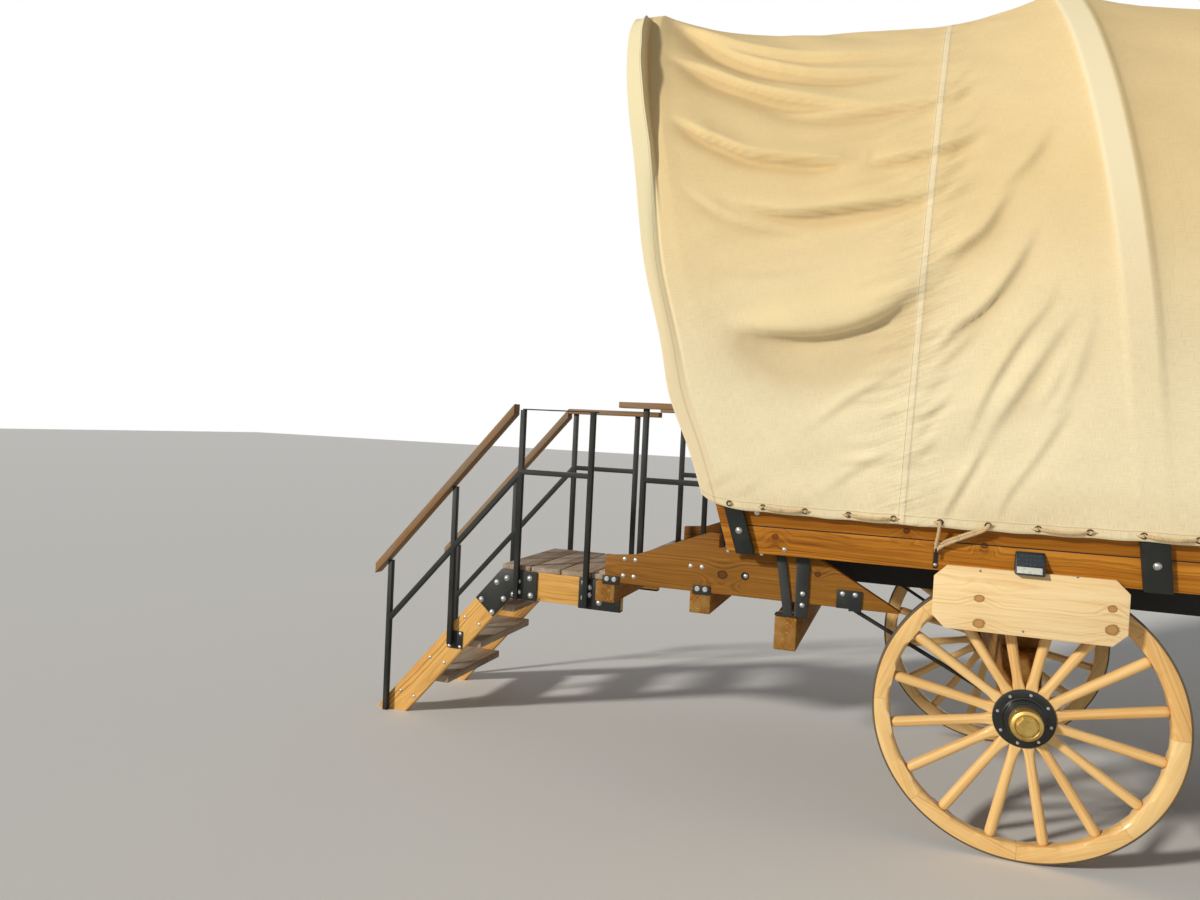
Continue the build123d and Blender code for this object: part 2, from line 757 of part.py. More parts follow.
for side in (-1, 1):
    y = side * rail_half
    first_x = ax(landing_post_x[0])
    frame = block(first_x - post_half, ax(landing_post_x[1]) + post_half,
                  y - post_half, y + post_half, rail_mid_z - post_half, rail_mid_z + post_half)
    for x in landing_post_x:
        frame += block(ax(x) - post_half, ax(x) + post_half, y - post_half, y + post_half,
                       beam_foot, rail_top_z - cap_t)
    for x, foot_z in zip(stair_post_x, (0, slope_z(ax(stair_post_x[1]), -lower_edge / 2))):
        frame += block(ax(x) - post_half, ax(x) + post_half, y - post_half, y + post_half,
                       foot_z, hand_z(ax(x) - post_half, hand_deep))
    low_x = ax(stair_post_x[0])
    frame += bar((low_x, y, hand_z(low_x, stair_mid_drop)), (first_x, y, hand_z(first_x, stair_mid_drop)),
                 tube, tube, up=(0, 1, 0))
    if side < 0:
        frame += block(first_x, ax(landing_post_x[1]) + tube, y - post_half, y + post_half,
                       rail_top_z - cap_t, rail_top_z - cap_t + top_bar_t)
    stair_frames.append(frame)
    outline = [
        (low_rail_x, hand_z(low_rail_x, 0)), (top_rail_x, rail_top_z),
        (top_rail_x, rail_top_z - hand_deep), (low_rail_x, hand_z(low_rail_x, hand_deep)),
    ]
    handrails.append(prism_xz(outline, y - cap_w / 2, y + cap_w / 2))
keep("stair_rails", stair_frames)
handrails.append(block(top_rail_x + seat_gap, ax(porch_cap_from) - deck_gap, rail_half - cap_w / 2,
                       rail_half + cap_w / 2, rail_top_z - cap_t, rail_top_z))
keep("stair_handrails", handrails)

# Blank wooden plaque and the lamp above it, both on the near lower side board
plaque_plane = Plane(origin=(ax(plaque_x), 0, 0), x_dir=(1, 0, 0), z_dir=(0, -1, 0))
half_w = plaque_w / 2
c = plaque_corner
low = plaque_top_z - plaque_h
outline = [
    (-half_w + c, low), (half_w - c, low), (half_w, low + c), (half_w, plaque_top_z - c),
    (half_w - c, plaque_top_z), (-half_w + c, plaque_top_z), (-half_w, plaque_top_z - c), (-half_w, low + c),
]
face_at_foot = box_half_w + (plaque_top_z - box_foot_z) * tan(flare)
plaque = extrude(plaque_plane * make_face(Polyline(*outline, close=True)), plaque_t)
plaque_back = face_at_foot + seat_gap
keep("sign_plaque", Pos(0, -plaque_back, 0) * plaque)
lamp_face = box_half_w + (lamp_top_z - box_foot_z) * tan(flare) + seat_gap
plaque_front = plaque_back + plaque_t + lamp_clear
lamp_points = [
    (-lamp_face, lamp_top_z), (-plaque_front - lamp_depth, lamp_top_z - lamp_h),
    (-plaque_front, lamp_top_z - lamp_h), (-plaque_front, plaque_top_z + lamp_clear),
    (-plaque_back, plaque_top_z + lamp_clear),
]
lamp_outline = Plane.YZ * make_face(Polyline(*lamp_points, close=True))
keep("solar_lamp", Pos(ax(lamp_x) - lamp_w / 2, 0, 0) * extrude(lamp_outline, lamp_w, dir=(1, 0, 0)))

os.makedirs("parts", exist_ok=True)
for name, solids in nodes.items():
    shape = solids[0] if len(solids) == 1 else Compound(children=solids)
    export_step(shape, f"parts/{name}.step")
    print(name, len(solids))
print("front axle x", round(front_axle_x, 1), "rear axle x", round(rear_axle_x, 1))
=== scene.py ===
import bmesh
import bpy
import json
import math
import numpy as np
from mathutils import Matrix, Vector

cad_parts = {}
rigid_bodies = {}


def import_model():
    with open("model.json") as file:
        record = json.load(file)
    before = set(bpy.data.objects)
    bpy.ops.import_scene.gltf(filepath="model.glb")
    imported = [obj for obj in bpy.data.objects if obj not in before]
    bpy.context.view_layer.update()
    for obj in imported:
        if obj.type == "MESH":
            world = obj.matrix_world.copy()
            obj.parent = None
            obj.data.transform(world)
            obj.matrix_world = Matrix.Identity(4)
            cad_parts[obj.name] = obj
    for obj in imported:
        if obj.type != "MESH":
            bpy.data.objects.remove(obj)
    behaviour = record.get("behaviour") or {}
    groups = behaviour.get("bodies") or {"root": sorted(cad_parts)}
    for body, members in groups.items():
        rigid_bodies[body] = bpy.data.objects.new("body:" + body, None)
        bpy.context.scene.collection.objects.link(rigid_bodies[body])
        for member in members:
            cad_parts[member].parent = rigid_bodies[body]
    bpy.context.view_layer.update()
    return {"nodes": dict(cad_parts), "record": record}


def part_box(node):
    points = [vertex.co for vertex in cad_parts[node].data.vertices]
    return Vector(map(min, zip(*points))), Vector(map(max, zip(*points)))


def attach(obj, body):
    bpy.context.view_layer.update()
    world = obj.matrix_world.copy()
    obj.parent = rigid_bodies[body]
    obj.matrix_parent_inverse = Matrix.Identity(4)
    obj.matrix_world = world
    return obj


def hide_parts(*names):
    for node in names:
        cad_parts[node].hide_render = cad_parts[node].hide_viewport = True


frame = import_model()

# The two sides, as the sign of y, and the ways along and across the wagon
NEAR = -1
FAR = 1
ALONG = (1, 0, 0)
ACROSS = (0, 1, 0)

# Places and sizes shared with the part, in metres
WHEEL_R = 1.067 / 2
FRONT_AXLE_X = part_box("tyre_front_near")[0][0] + WHEEL_R
WHEELBASE = 3.770
TYRE_T = 0.008
RIM_W = 0.055
RIM_DEPTH = 0.057
RIM_FACE_Y = 0.720
HUB_PINCH = 0.044
HUB_PLATE_T = 0.008
HUB_PLATE_R = 0.215 / 2
HUB_FACE = (RIM_W - HUB_PINCH) / 2 - HUB_PLATE_T
BARREL_R = 0.048
COLLAR_R = 0.070
COLLAR_T = 0.032
CAP_R = 0.056
CAP_REACH = 0.062
SPINDLE_R = 0.030
BOX_FOOT = 1.055
BOX_HALF = 0.775
FLARE = math.radians(12)
BELLY = 0.975
HAUNCH = math.radians(50)
HEM = 1.235
LIP = 0.075
SAG = 0.124
BOW_T = 0.025
HOUND_OUT = 0.700
# Each bow: foot from the front axle, lean in degrees towards the porch, height of its top, width
BOWS = [
    (-1.041, 15, 3.500, 0.074),
    (0.380, 9, 3.390, 0.088),
    (1.825, 0, 3.330, 0.088),
    (3.270, -9, 3.390, 0.088),
    (4.691, -15, 3.500, 0.074),
]


def ax(x):
    """A place along the wagon, from a distance behind the front axle."""
    return FRONT_AXLE_X + x


# Paint


class Value:
    """A socket of a material that takes part in Python arithmetic."""

    def __init__(self, paint, socket):
        self.paint = paint
        self.socket = socket

    def __add__(self, other):
        return self.paint.maths("ADD", self, other)

    def __radd__(self, other):
        return self.paint.maths("ADD", other, self)

    def __sub__(self, other):
        return self.paint.maths("SUBTRACT", self, other)

    def __rsub__(self, other):
        return self.paint.maths("SUBTRACT", other, self)

    def __mul__(self, other):
        return self.paint.maths("MULTIPLY", self, other)

    def __rmul__(self, other):
        return self.paint.maths("MULTIPLY", other, self)

    def __truediv__(self, other):
        return self.paint.maths("DIVIDE", self, other)

    def __rtruediv__(self, other):
        return self.paint.maths("DIVIDE", other, self)

    def __pow__(self, other):
        return self.paint.maths("POWER", self, other)

    def __gt__(self, other):
        return self.paint.maths("GREATER_THAN", self, other)

    def __lt__(self, other):
        return self.paint.maths("LESS_THAN", self, other)


def set_stops(ramp, stops):
    while len(ramp.elements) < len(stops):
        ramp.elements.new(1.0)
    for element, (place, colour) in zip(ramp.elements, stops):
        element.position = place
        element.color = colour


def add_node(tree, kind, settings=None, sockets=None):
    """Adds a node, sets its settings first and then its sockets' values or links, and gives its outputs."""
    node = tree.nodes.new(kind)
    for key, value in (settings or {}).items():
        if key == "stops":
            set_stops(node.color_ramp, value)
        else:
            setattr(node, key, value)
    for key, value in (sockets or {}).items():
        value = value.socket if isinstance(value, Value) else value
        if isinstance(value, bpy.types.NodeSocket):
            tree.links.new(value, node.inputs[key])
        else:
            node.inputs[key].default_value = value
    return node.outputs


class Paint:
    """One material and the nodes added to it."""

    def __init__(self, name, rough=0.5, metal=0.0, coat=0.0):
        self.material = bpy.data.materials.new(name)
        self.material.use_nodes = True
        self.tree = self.material.node_tree
        self.shader = self.tree.nodes["Principled BSDF"]
        self.shader.inputs["Roughness"].default_value = rough
        self.shader.inputs["Metallic"].default_value = metal
        self.shader.inputs["Coat Weight"].default_value = coat

    def node(self, kind, settings=None, sockets=None, out=0):
        return Value(self, add_node(self.tree, kind, settings, sockets)[out])

    def put(self, socket, value):
        self.tree.links.new(value.socket, self.shader.inputs[socket])

    def maths(self, operation, *values):
        return self.node("ShaderNodeMath", {"operation": operation}, dict(enumerate(values)))

    def attribute(self, name, out=2):
        """What the mesh stores under a name: a number, or a vector with out at 1."""
        return self.node("ShaderNodeAttribute", {"attribute_name": name}, {}, out)

    def place(self):
        """The place on the piece, in metres."""
        return self.node("ShaderNodeTexCoord", {}, {}, 3)

    def step(self, value, low, high):
        """0 below low, 1 above high, smooth between."""
        sockets = {"Value": value, "From Min": low, "From Max": high}
        return self.node("ShaderNodeMapRange", {"interpolation_type": "SMOOTHSTEP"}, sockets)

    def mix(self, share, first, second):
        return self.node("ShaderNodeMix", {"data_type": "RGBA"}, {0: share, 6: first, 7: second}, 2)

    def noise(self, vector, scale, detail=3.0, rough=0.5):
        sockets = {"Vector": vector, "Scale": scale, "Detail": detail, "Roughness": rough}
        return self.node("ShaderNodeTexNoise", {}, sockets)

    def stretch(self, vector, factors):
        return self.node("ShaderNodeMapping", {}, {"Vector": vector, "Scale": factors})

    def streaks(self, vector, factors, detail, rough=0.5):
        """Noise with its own fineness along each axis."""
        return self.noise(self.stretch(vector, factors), 1.0, detail, rough)

    def parts(self, vector):
        split = self.node("ShaderNodeSeparateXYZ", {}, {0: vector})
        outputs = split.socket.node.outputs
        return [Value(self, outputs[k]) for k in range(3)]

    def bump(self, height, strength, distance):
        sockets = {"Strength": strength, "Distance": distance, "Height": height}
        self.put("Normal", self.node("ShaderNodeBump", {}, sockets))


def rgb(red, green, blue):
    """A colour as it shows on screen, from 0 to 255, made linear."""
    def linear(c):
        c /= 255
        return c / 12.92 if c <= 0.04045 else ((c + 0.055) / 1.055) ** 2.4
    return (linear(red), linear(green), linear(blue), 1.0)


def diagonal(a, b):
    """The length of a step of a one way and b the other."""
    return (a * a + b * b) ** 0.5


# Knots that are scattered lie one to a cell, along and across the board
KNOT_CELL = (0.47, 0.16)
KNOT_R = 0.0095
# Shares of fibre, streaks, broad bands and the board's own tone in the figure of wood, beside its rings
FIBRE, STREAK, BROAD, TONE = 0.4, 0.7, 0.6, 0.22


def wood(name, pale, mid, dark, knots=(), scatter=0.35, rough=0.5, grey=None, coat=0.0, depth=0.0006,
         ring_share=0.9, ends_at=None, knot_body=None):
    """Sawn wood along the grain attribute: uneven rings, fibres, knots and, if grey is given, weathering.

    Knots that have a place of their own are rows of (x, z, radius), and a share of them is scattered. Timbers
    whose sawn ends stand at a distance ends_at from the middle have pale flecks there.
    """
    pale, mid, dark = rgb(*pale), rgb(*mid), rgb(*dark)
    paint = Paint(name, rough, coat=coat)
    paint.shader.inputs["Specular IOR Level"].default_value = 0.2
    grain = paint.attribute("grain", 1)
    tint = paint.attribute("tint")
    along, across, thick = paint.parts(grain)
    place = paint.place()
    place_x, place_y, place_z = paint.parts(place)
    # Distance from the nearest knot, in radii of that knot
    cells = paint.node("ShaderNodeCombineXYZ", {}, {0: along / KNOT_CELL[0], 1: across / KNOT_CELL[1]})
    pick, heart = (paint.parts(paint.node("ShaderNodeTexVoronoi", {"voronoi_dimensions": "2D"},
                                          {"Vector": cells, "Scale": 1.0}, out)) for out in (1, 2))
    spread = diagonal(along - heart[0] * KNOT_CELL[0], (across - heart[1] * KNOT_CELL[1]) * 1.25)
    knot = spread / (KNOT_R * 0.6 + pick[1] * KNOT_R) + (pick[0] > scatter) * 50
    for x, z, radius in knots:
        spread = diagonal((place_x - x) * 0.85, place_z - z)
        knot = paint.maths("MINIMUM", knot, spread / radius)
    knot = knot + (paint.streaks(grain, (60, 90, 90), 2.0) - 0.5) * 0.7
    pull = paint.step(knot, 6.5, 0.5)
    wander = paint.streaks(grain, (1.3, 6, 6), 2.0) - 0.5
    waver = paint.streaks(grain, (9, 40, 40), 2.0) - 0.5
    radius = diagonal(across, thick) + wander * 0.045 + waver * 0.006 + pull * 0.022
    rings = paint.node("ShaderNodeTexNoise", {"noise_dimensions": "1D"},
                       {"W": radius, "Scale": 150.0, "Detail": 2.5, "Roughness": 0.62})
    fibre = paint.streaks(grain, (7, 300, 300), 4.0, 0.65)
    streak = paint.streaks(grain, (1.6, 46, 46), 4.0, 0.6)
    broad = paint.streaks(grain, (1.1, 9, 9), 3.0)
    share = rings * ring_share + fibre * FIBRE + streak * STREAK + broad * BROAD + tint * TONE
    share = share - (0.5 * (ring_share + FIBRE + STREAK + BROAD + TONE) - 0.5) + pull * 0.10
    stops = [(0.12, pale), (0.5, mid), (0.9, dark)]
    colour = paint.node("ShaderNodeValToRGB", {"stops": stops}, {0: share})
    knot_dark = tuple(c * 0.42 for c in dark[:3]) + (1.0,)
    knot_body = rgb(*knot_body) if knot_body else tuple(c * 0.80 for c in dark[:3]) + (1.0,)
    colour = paint.mix(paint.step(knot, 1.4, 0.9) * 0.85, colour, knot_body)
    rim = paint.step(knot, 1.25, 1.05) * paint.step(knot, 0.72, 0.92)
    colour = paint.mix(rim * 0.8, colour, knot_dark)
    if grey:
        worn = paint.streaks(grain, (2.4, 18, 18), 4.0, 0.65) + fibre * 0.3
        colour = paint.mix(paint.step(worn, 0.50, 0.82) * 0.8, colour, rgb(*grey))
    if ends_at:
        sawn = paint.maths("ABSOLUTE", place_y) > ends_at - 0.0015
        fleck = paint.step(paint.streaks(place, (60, 60, 110), 4.0, 0.7), 0.58, 0.64)
        fleck = fleck * paint.step(paint.noise(place, 24.0, 2.0), 0.42, 0.55)
        colour = paint.mix(sawn * fleck * 0.75, colour, rgb(214, 178, 104))
    paint.put("Base Color", colour)
    paint.put("Roughness", rough - 0.1 + fibre * 0.2)
    paint.bump(fibre * 0.6 + rings * 0.5 + streak * 0.3, 0.5, depth)
    return paint.material


def painted_steel(name, colour, dust, rough):
    """Black painted steel with a fine orange-peel skin, dust and a little rubbing."""
    paint = Paint(name, rough)
    place = paint.place()
    broad = paint.noise(place, 6.0, 4.0)
    fine = paint.noise(place, 120.0, 3.0)
    dusty = paint.step(broad + fine * 0.3, 0.58, 0.98)
    paint.shader.inputs["Specular IOR Level"].default_value = 0.3
    paint.put("Base Color", paint.mix(dusty * 0.4, rgb(*colour), rgb(*dust)))
    paint.put("Roughness", rough - 0.1 + broad * 0.3 + dusty * 0.15)
    paint.bump(fine + broad * 0.4, 0.25, 0.0006)
    return paint.material


def bare_metal(name, colour, shade, rough, scale):
    """Plated or bare metal with mottling and fine scratches."""
    paint = Paint(name, rough, metal=1.0)
    place = paint.place()
    mottle = paint.noise(place, scale, 4.0)
    scratch = paint.noise(paint.stretch(place, (4, 1, 22)), scale * 3, 3.0)
    paint.put("Base Color", paint.mix(paint.step(mottle, 0.35, 0.75), rgb(*colour), rgb(*shade)))
    paint.put("Roughness", rough - 0.08 + mottle * 0.25 + scratch * 0.08)
    paint.bump(mottle + scratch * 0.5, 0.2, 0.0004)
    return paint.material


# Spacing of the canvas's threads along and round the cover, and of the stitches of its seams
THREADS = (0.0032, 0.0026)
STITCH = 0.0065


def canvas_cloth(name):
    """Heavy cotton duck: plain weave, sewn tapes and hems by the sheet's own measure, slight soiling, painted
    shade in fold troughs, painted highlights on fold ridges and over the bows, and painted light paling it
    towards the hem.
    """
    paint = Paint(name, 0.9)
    paint.shader.inputs["Specular IOR Level"].default_value = 0.12
    uv = paint.node("ShaderNodeUVMap", {"uv_map": "cut"})
    along, girth, _ = paint.parts(uv)
    hem, end, fold, on_bow, by_seam = (
        paint.attribute(key) for key in ("from_hem", "from_end", "fold", "on_bow", "by_seam"))
    seam = paint.maths("ABSOLUTE", paint.attribute("from_seam"))

    def line(distance, at):
        """1 on a line at a given distance, 0 off it."""
        return paint.step(paint.maths("ABSOLUTE", distance - at), 0.0016, 0.0016 * 0.4)

    def thread(run):
        """Stitches and the gaps between them along a sewn line."""
        return paint.maths("FRACT", run * (1 / STITCH)) < 0.7

    warp = paint.maths("SINE", along * (2 * math.pi / THREADS[0]))
    weft = paint.maths("SINE", girth * (2 * math.pi / THREADS[1]))
    weave = warp * weft
    slub = paint.streaks(uv, (420, 26, 1), 3.0, 0.6)
    slub_b = paint.streaks(uv, (22, 480, 1), 3.0, 0.6)
    crumple = paint.streaks(uv, (2.6, 7.5, 1), 5.0, 0.55)
    slanted = paint.node("ShaderNodeCombineXYZ", {}, {0: along * 7.0, 1: (girth - along * 0.42) * 40})
    pucker = paint.noise(slanted, 1.0, 2.0)
    # The tapes on the seams, the bands turned in at the ends and the foot, and the stitches that hold them
    tape = paint.step(seam, 0.0150, 0.0125)
    ends = paint.step(end, 0.052, 0.049)
    foot = paint.step(hem, 0.040, 0.037)
    stitch = line(seam, 0.0105) * thread(girth) + line(end, 0.046) * thread(girth)
    stitch = stitch + line(hem, 0.034) * thread(along)
    stain = paint.streaks(uv, (0.9, 1.5, 1), 5.0, 0.6)
    soil = paint.step(hem, 0.22, 0.0) * paint.step(stain + slub * 0.3, 0.45, 0.9)
    lip = paint.mix(paint.step(hem, 0.7, 1.3), rgb(246, 228, 186), rgb(236, 227, 188))
    # Layers of colour, each over the ones before: how much of it, and what
    layers = [
        (paint.step(stain, 0.4, 0.7), rgb(246, 222, 170)),
        # Painted light: the cloth is painted paler towards the hem, in patches, as if lit from the floor
        # below
        (paint.step(hem + stain * 0.5 - 0.25, 1.35, 0.35) * 0.95, rgb(255, 243, 205)),
        (paint.step(slub * 0.5 + slub_b * 0.5, 0.42, 0.62) * 0.3, rgb(222, 190, 134)),
        # Painted shade in the troughs of the folds, then a painted highlight on their ridges
        (paint.step(fold, -0.001, -0.014) * 0.45, rgb(206, 178, 128)),
        (paint.step(fold, 0.001, 0.016) * 0.35, rgb(252, 228, 170)),
        # Painted highlight on the cloth drawn tight over the middle bows, up the sides
        (on_bow * paint.step(hem, 0.5, 1.3) * 0.8, rgb(254, 242, 206)),
        (soil * 0.45, rgb(200, 172, 124)),
        (tape * 0.7 + foot * 0.1, rgb(250, 236, 200)),
        (paint.step(end, 0.075, 0.068) * 0.8, lip),
        (stitch * 0.6, rgb(188, 156, 104)),
    ]
    colour = rgb(240, 214, 160)
    for share, layer in layers:
        colour = paint.mix(share, colour, layer)
    paint.put("Base Color", colour)
    height = weave * 0.08 + slub * 0.2 + slub_b * 0.2 + crumple * 1.6
    height = height + (tape + ends + foot) * 0.5 - stitch * 0.6 + pucker * by_seam * 4.4
    paint.bump(height, 0.7, 0.0022)
    return paint.material


def lacing_rope(name):
    """Worn fibre rope, dirty in patches."""
    paint = Paint(name, 0.85)
    place = paint.place()
    fuzz = paint.noise(place, 700.0, 3.0, 0.7)
    dirt = paint.noise(place, 30.0, 3.0)
    colour = paint.mix(paint.step(fuzz, 0.3, 0.7), rgb(172, 142, 98), rgb(240, 214, 168))
    paint.put("Base Color", paint.mix(paint.step(dirt, 0.5, 0.8) * 0.5, colour, rgb(112, 90, 62)))
    paint.bump(fuzz, 0.6, 0.0008)
    return paint.material


def plain_finish(name, colour, second, rough, scale=30.0, coat=0.0):
    """A smooth moulded or painted finish with a faint mottle."""
    paint = Paint(name, rough, coat=coat)
    mottle = paint.noise(paint.place(), scale, 4.0)
    paint.put("Base Color", paint.mix(paint.step(mottle, 0.35, 0.7), rgb(*colour), rgb(*second)))
    paint.put("Roughness", rough - 0.05 + mottle * 0.12)
    paint.bump(mottle, 0.1, 0.0005)
    return paint.material


WALL_BOARD_W = 0.14


def boarded_wall(name):
    """Upright matched boards of the end walls and the door, with painted shade in the grooves between them.
    """
    paint = Paint(name, 0.55)
    place = paint.place()
    _, y, z = paint.parts(place)
    cell = y / WALL_BOARD_W + 40.0
    index = paint.maths("FLOOR", cell)
    groove = paint.step(paint.maths("ABSOLUTE", paint.maths("FRACT", cell) - 0.5), 0.46, 0.495)
    vector = paint.node("ShaderNodeCombineXYZ", {}, {0: y * 9, 1: index * 3.7, 2: z * 0.7})
    figure = paint.noise(vector, 2.0, 5.0, 0.6)
    fine = paint.noise(paint.stretch(place, (60, 60, 2)), 2.0, 3.0)
    stops = [(0.25, rgb(214, 168, 108)), (0.55, rgb(188, 134, 76)), (0.85, rgb(140, 90, 46))]
    tone = paint.node("ShaderNodeTexWhiteNoise", {"noise_dimensions": "1D"}, {"W": index})
    share = figure * 0.7 + fine * 0.3 + tone * 0.2 - 0.1
    colour = paint.node("ShaderNodeValToRGB", {"stops": stops}, {0: share})
    # Painted shade darkens the grooves between the boards
    paint.put("Base Color", paint.mix(groove * 0.8, colour, rgb(60, 38, 22)))
    paint.bump(fine * 0.3 - groove * 2.0, 0.6, 0.002)
    return paint.material


# Meshes


def new_piece(name, verts, faces, material, smooth=False):
    mesh = bpy.data.meshes.new(name)
    mesh.from_pydata([tuple(map(float, v)) for v in verts], [], [tuple(map(int, f)) for f in faces])
    mesh.validate()
    piece = bpy.data.objects.new(name, mesh)
    bpy.context.scene.collection.objects.link(piece)
    if material:
        mesh.materials.append(material)
    mesh.polygons.foreach_set("use_smooth", [smooth] * len(mesh.polygons))
    return piece


def point_values(piece, name, values, kind="FLOAT"):
    """Stores one number or vector for each point of a mesh."""
    layer = piece.data.attributes.new(name, kind, "POINT")
    key = "vector" if kind == "FLOAT_VECTOR" else "value"
    layer.data.foreach_set(key, np.asarray(values, np.float32).ravel())


def islands(mesh):
    """The number of the separate solid that each point belongs to."""
    count = len(mesh.vertices)
    label = np.arange(count)
    edges = np.empty(len(mesh.edges) * 2, np.int32)
    mesh.edges.foreach_get("vertices", edges)
    edges = edges.reshape(-1, 2)
    while True:
        low = np.minimum(label[edges[:, 0]], label[edges[:, 1]])
        fresh = label.copy()
        np.minimum.at(fresh, edges[:, 0], low)
        np.minimum.at(fresh, edges[:, 1], low)
        if (fresh == label).all():
            return np.unique(label, return_inverse=True)[1]
        label = fresh[fresh]


def points_of(mesh):
    co = np.empty(len(mesh.vertices) * 3)
    mesh.vertices.foreach_get("co", co)
    return co.reshape(-1, 3)


def face_out(piece, angle):
    """Turns the faces outwards and keeps edges sharper than an angle in degrees sharp."""
    form = bmesh.new()
    form.from_mesh(piece.data)
    bmesh.ops.recalc_face_normals(form, faces=form.faces)
    form.to_mesh(piece.data)
    form.free()
    piece.data.set_sharp_from_angle(angle=math.radians(angle))


def aside(way):
    """An axis well off a direction."""
    return np.array([0, 0, 1.0]) if abs(way[2]) < 0.8 else np.array([0, 1.0, 0])


def lay_grain(piece, seed, axis=None):
    """Gives each board its own grain direction, place in the log and tone."""
    random = np.random.default_rng(seed)
    co = points_of(piece.data)
    label = islands(piece.data)
    grain = np.zeros_like(co)
    tint = np.zeros(len(co))
    for k in range(label.max() + 1):
        mine = label == k
        middle = (co[mine].min(axis=0) + co[mine].max(axis=0)) / 2
        local = co[mine] - middle
        if axis is None:
            along = np.linalg.svd(local, full_matrices=False)[2][0]
        else:
            along = np.array(axis, float)
        along = along / np.linalg.norm(along)
        side = np.cross(aside(along), along)
        side /= np.linalg.norm(side)
        third = np.cross(along, side)
        if np.ptp(local @ third) > np.ptp(local @ side):
            side, third = third, -side
        a = local @ along
        tilt = random.uniform(-0.02, 0.02, 2)
        pith = random.uniform(0.04, 0.11, 2) * random.choice([-1, 1], 2)
        grain[mine] = np.c_[a + random.uniform(-40, 40), local @ side + pith[0] + tilt[0] * a,
                            local @ third + pith[1] + tilt[1] * a]
        tint[mine] = random.uniform(0, 1)
    point_values(piece, "grain", grain, "FLOAT_VECTOR")
    point_values(piece, "tint", tint)


def eased(node, material, width, segments=2, grain_seed=None, grain_axis=None):
    """A copy of a part's node with its sharp edges eased, which stands for that node."""
    source = frame["nodes"][node]
    piece = bpy.data.objects.new("eased_" + node, source.data.copy())
    bpy.context.scene.collection.objects.link(piece)
    form = bmesh.new()
    form.from_mesh(piece.data)
    bmesh.ops.remove_doubles(form, verts=form.verts, dist=1e-5)
    bmesh.ops.dissolve_limit(form, angle_limit=math.radians(1), verts=form.verts, edges=form.edges)
    sharp = [e for e in form.edges if len(e.link_faces) == 2 and e.calc_face_angle(0) > math.radians(24)]
    bmesh.ops.bevel(form, geom=sharp, offset=width, offset_type="OFFSET", segments=segments, profile=0.5,
                    affect="EDGES", clamp_overlap=True)
    form.to_mesh(piece.data)
    form.free()
    piece.data.materials.clear()
    piece.data.materials.append(material)
    piece.data.polygons.foreach_set("use_smooth", [True] * len(piece.data.polygons))
    piece.data.set_sharp_from_angle(angle=math.radians(50))
    if grain_seed is not None:
        lay_grain(piece, grain_seed, grain_axis)
    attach(piece, "wagon")
    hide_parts(node)
    slot_of(node)


def slot_of(node):
    rows = frame["record"]["subparts"]
    return next(row["material_slot"] for row in rows if row["node"] == node)


def repaint(node, material):
    source = frame["nodes"][node]
    source.data.materials.clear()
    source.data.materials.append(material)


# What repeats is placed by Geometry Nodes


class Tree:
    """A geometry tree with named inputs; every node in it is used for its first output."""

    def __init__(self, name, inputs):
        self.tree = bpy.data.node_groups.new(name, "GeometryNodeTree")
        face = self.tree.interface
        face.new_socket("Geometry", in_out="INPUT", socket_type="NodeSocketGeometry")
        face.new_socket("Geometry", in_out="OUTPUT", socket_type="NodeSocketGeometry")
        self.ids = {}
        for key, kind in inputs.items():
            socket = face.new_socket(key, in_out="INPUT", socket_type="NodeSocket" + kind)
            self.ids[key] = socket.identifier
        self.entry = self.tree.nodes.new("NodeGroupInput")
        self.exit = self.tree.nodes.new("NodeGroupOutput")

    def node(self, kind, settings=None, sockets=None):
        return add_node(self.tree, kind, settings, sockets)[0]

    def set_on_points(self, shape):
        """Ends the tree: a shape on every point, turned to the point's own facing, in its finish."""
        give = self.entry.outputs
        kind = {"data_type": "FLOAT_VECTOR"}
        facing = self.node("GeometryNodeInputNamedAttribute", kind, {"Name": "facing"})
        turn = self.node("FunctionNodeAlignRotationToVector", {"axis": "Z"}, {"Vector": facing})
        placed = self.node("GeometryNodeInstanceOnPoints", {},
                           {"Points": give["Geometry"], "Instance": shape, "Rotation": turn})
        whole = self.node("GeometryNodeRealizeInstances", {}, {0: placed})
        dressed = self.node("GeometryNodeSetMaterial", {}, {0: whole, "Material": give["Finish"]})
        self.tree.links.new(dressed, self.exit.inputs[0])


def heads_tree():
    """Bolt heads on points: a flat washer with a dome or a hexagon on it."""
    work = Tree("bolt_heads", {"Head Radius": "Float", "Head Height": "Float", "Washer Radius": "Float",
                               "Sides": "Int", "Dome": "Bool", "Finish": "Material"})
    give = work.entry.outputs
    radius, height = give["Head Radius"], give["Head Height"]
    ball = work.node("GeometryNodeMeshUVSphere", {}, {"Segments": 14, "Rings": 8, "Radius": 1.0})
    size = work.node("ShaderNodeCombineXYZ", {}, {0: radius, 1: radius, 2: height})
    dome = work.node("GeometryNodeTransform", {}, {0: ball, "Scale": size})
    block = work.node("GeometryNodeMeshCylinder", {},
                      {"Vertices": give["Sides"], "Radius": radius, "Depth": height})
    lift = work.node("ShaderNodeMath", {"operation": "MULTIPLY"}, {0: height, 1: 0.5})
    up = work.node("ShaderNodeCombineXYZ", {}, {2: lift})
    block = work.node("GeometryNodeTransform", {}, {0: block, "Translation": up})
    head = work.node("GeometryNodeSwitch", {"input_type": "GEOMETRY"}, {0: give["Dome"], 1: block, 2: dome})
    washer = work.node("GeometryNodeMeshCylinder", {},
                       {"Vertices": 20, "Radius": give["Washer Radius"], "Depth": 0.0024})
    whole = work.node("GeometryNodeJoinGeometry")
    for form in (head, washer):
        work.tree.links.new(form, whole.node.inputs[0])
    work.set_on_points(whole)
    return work


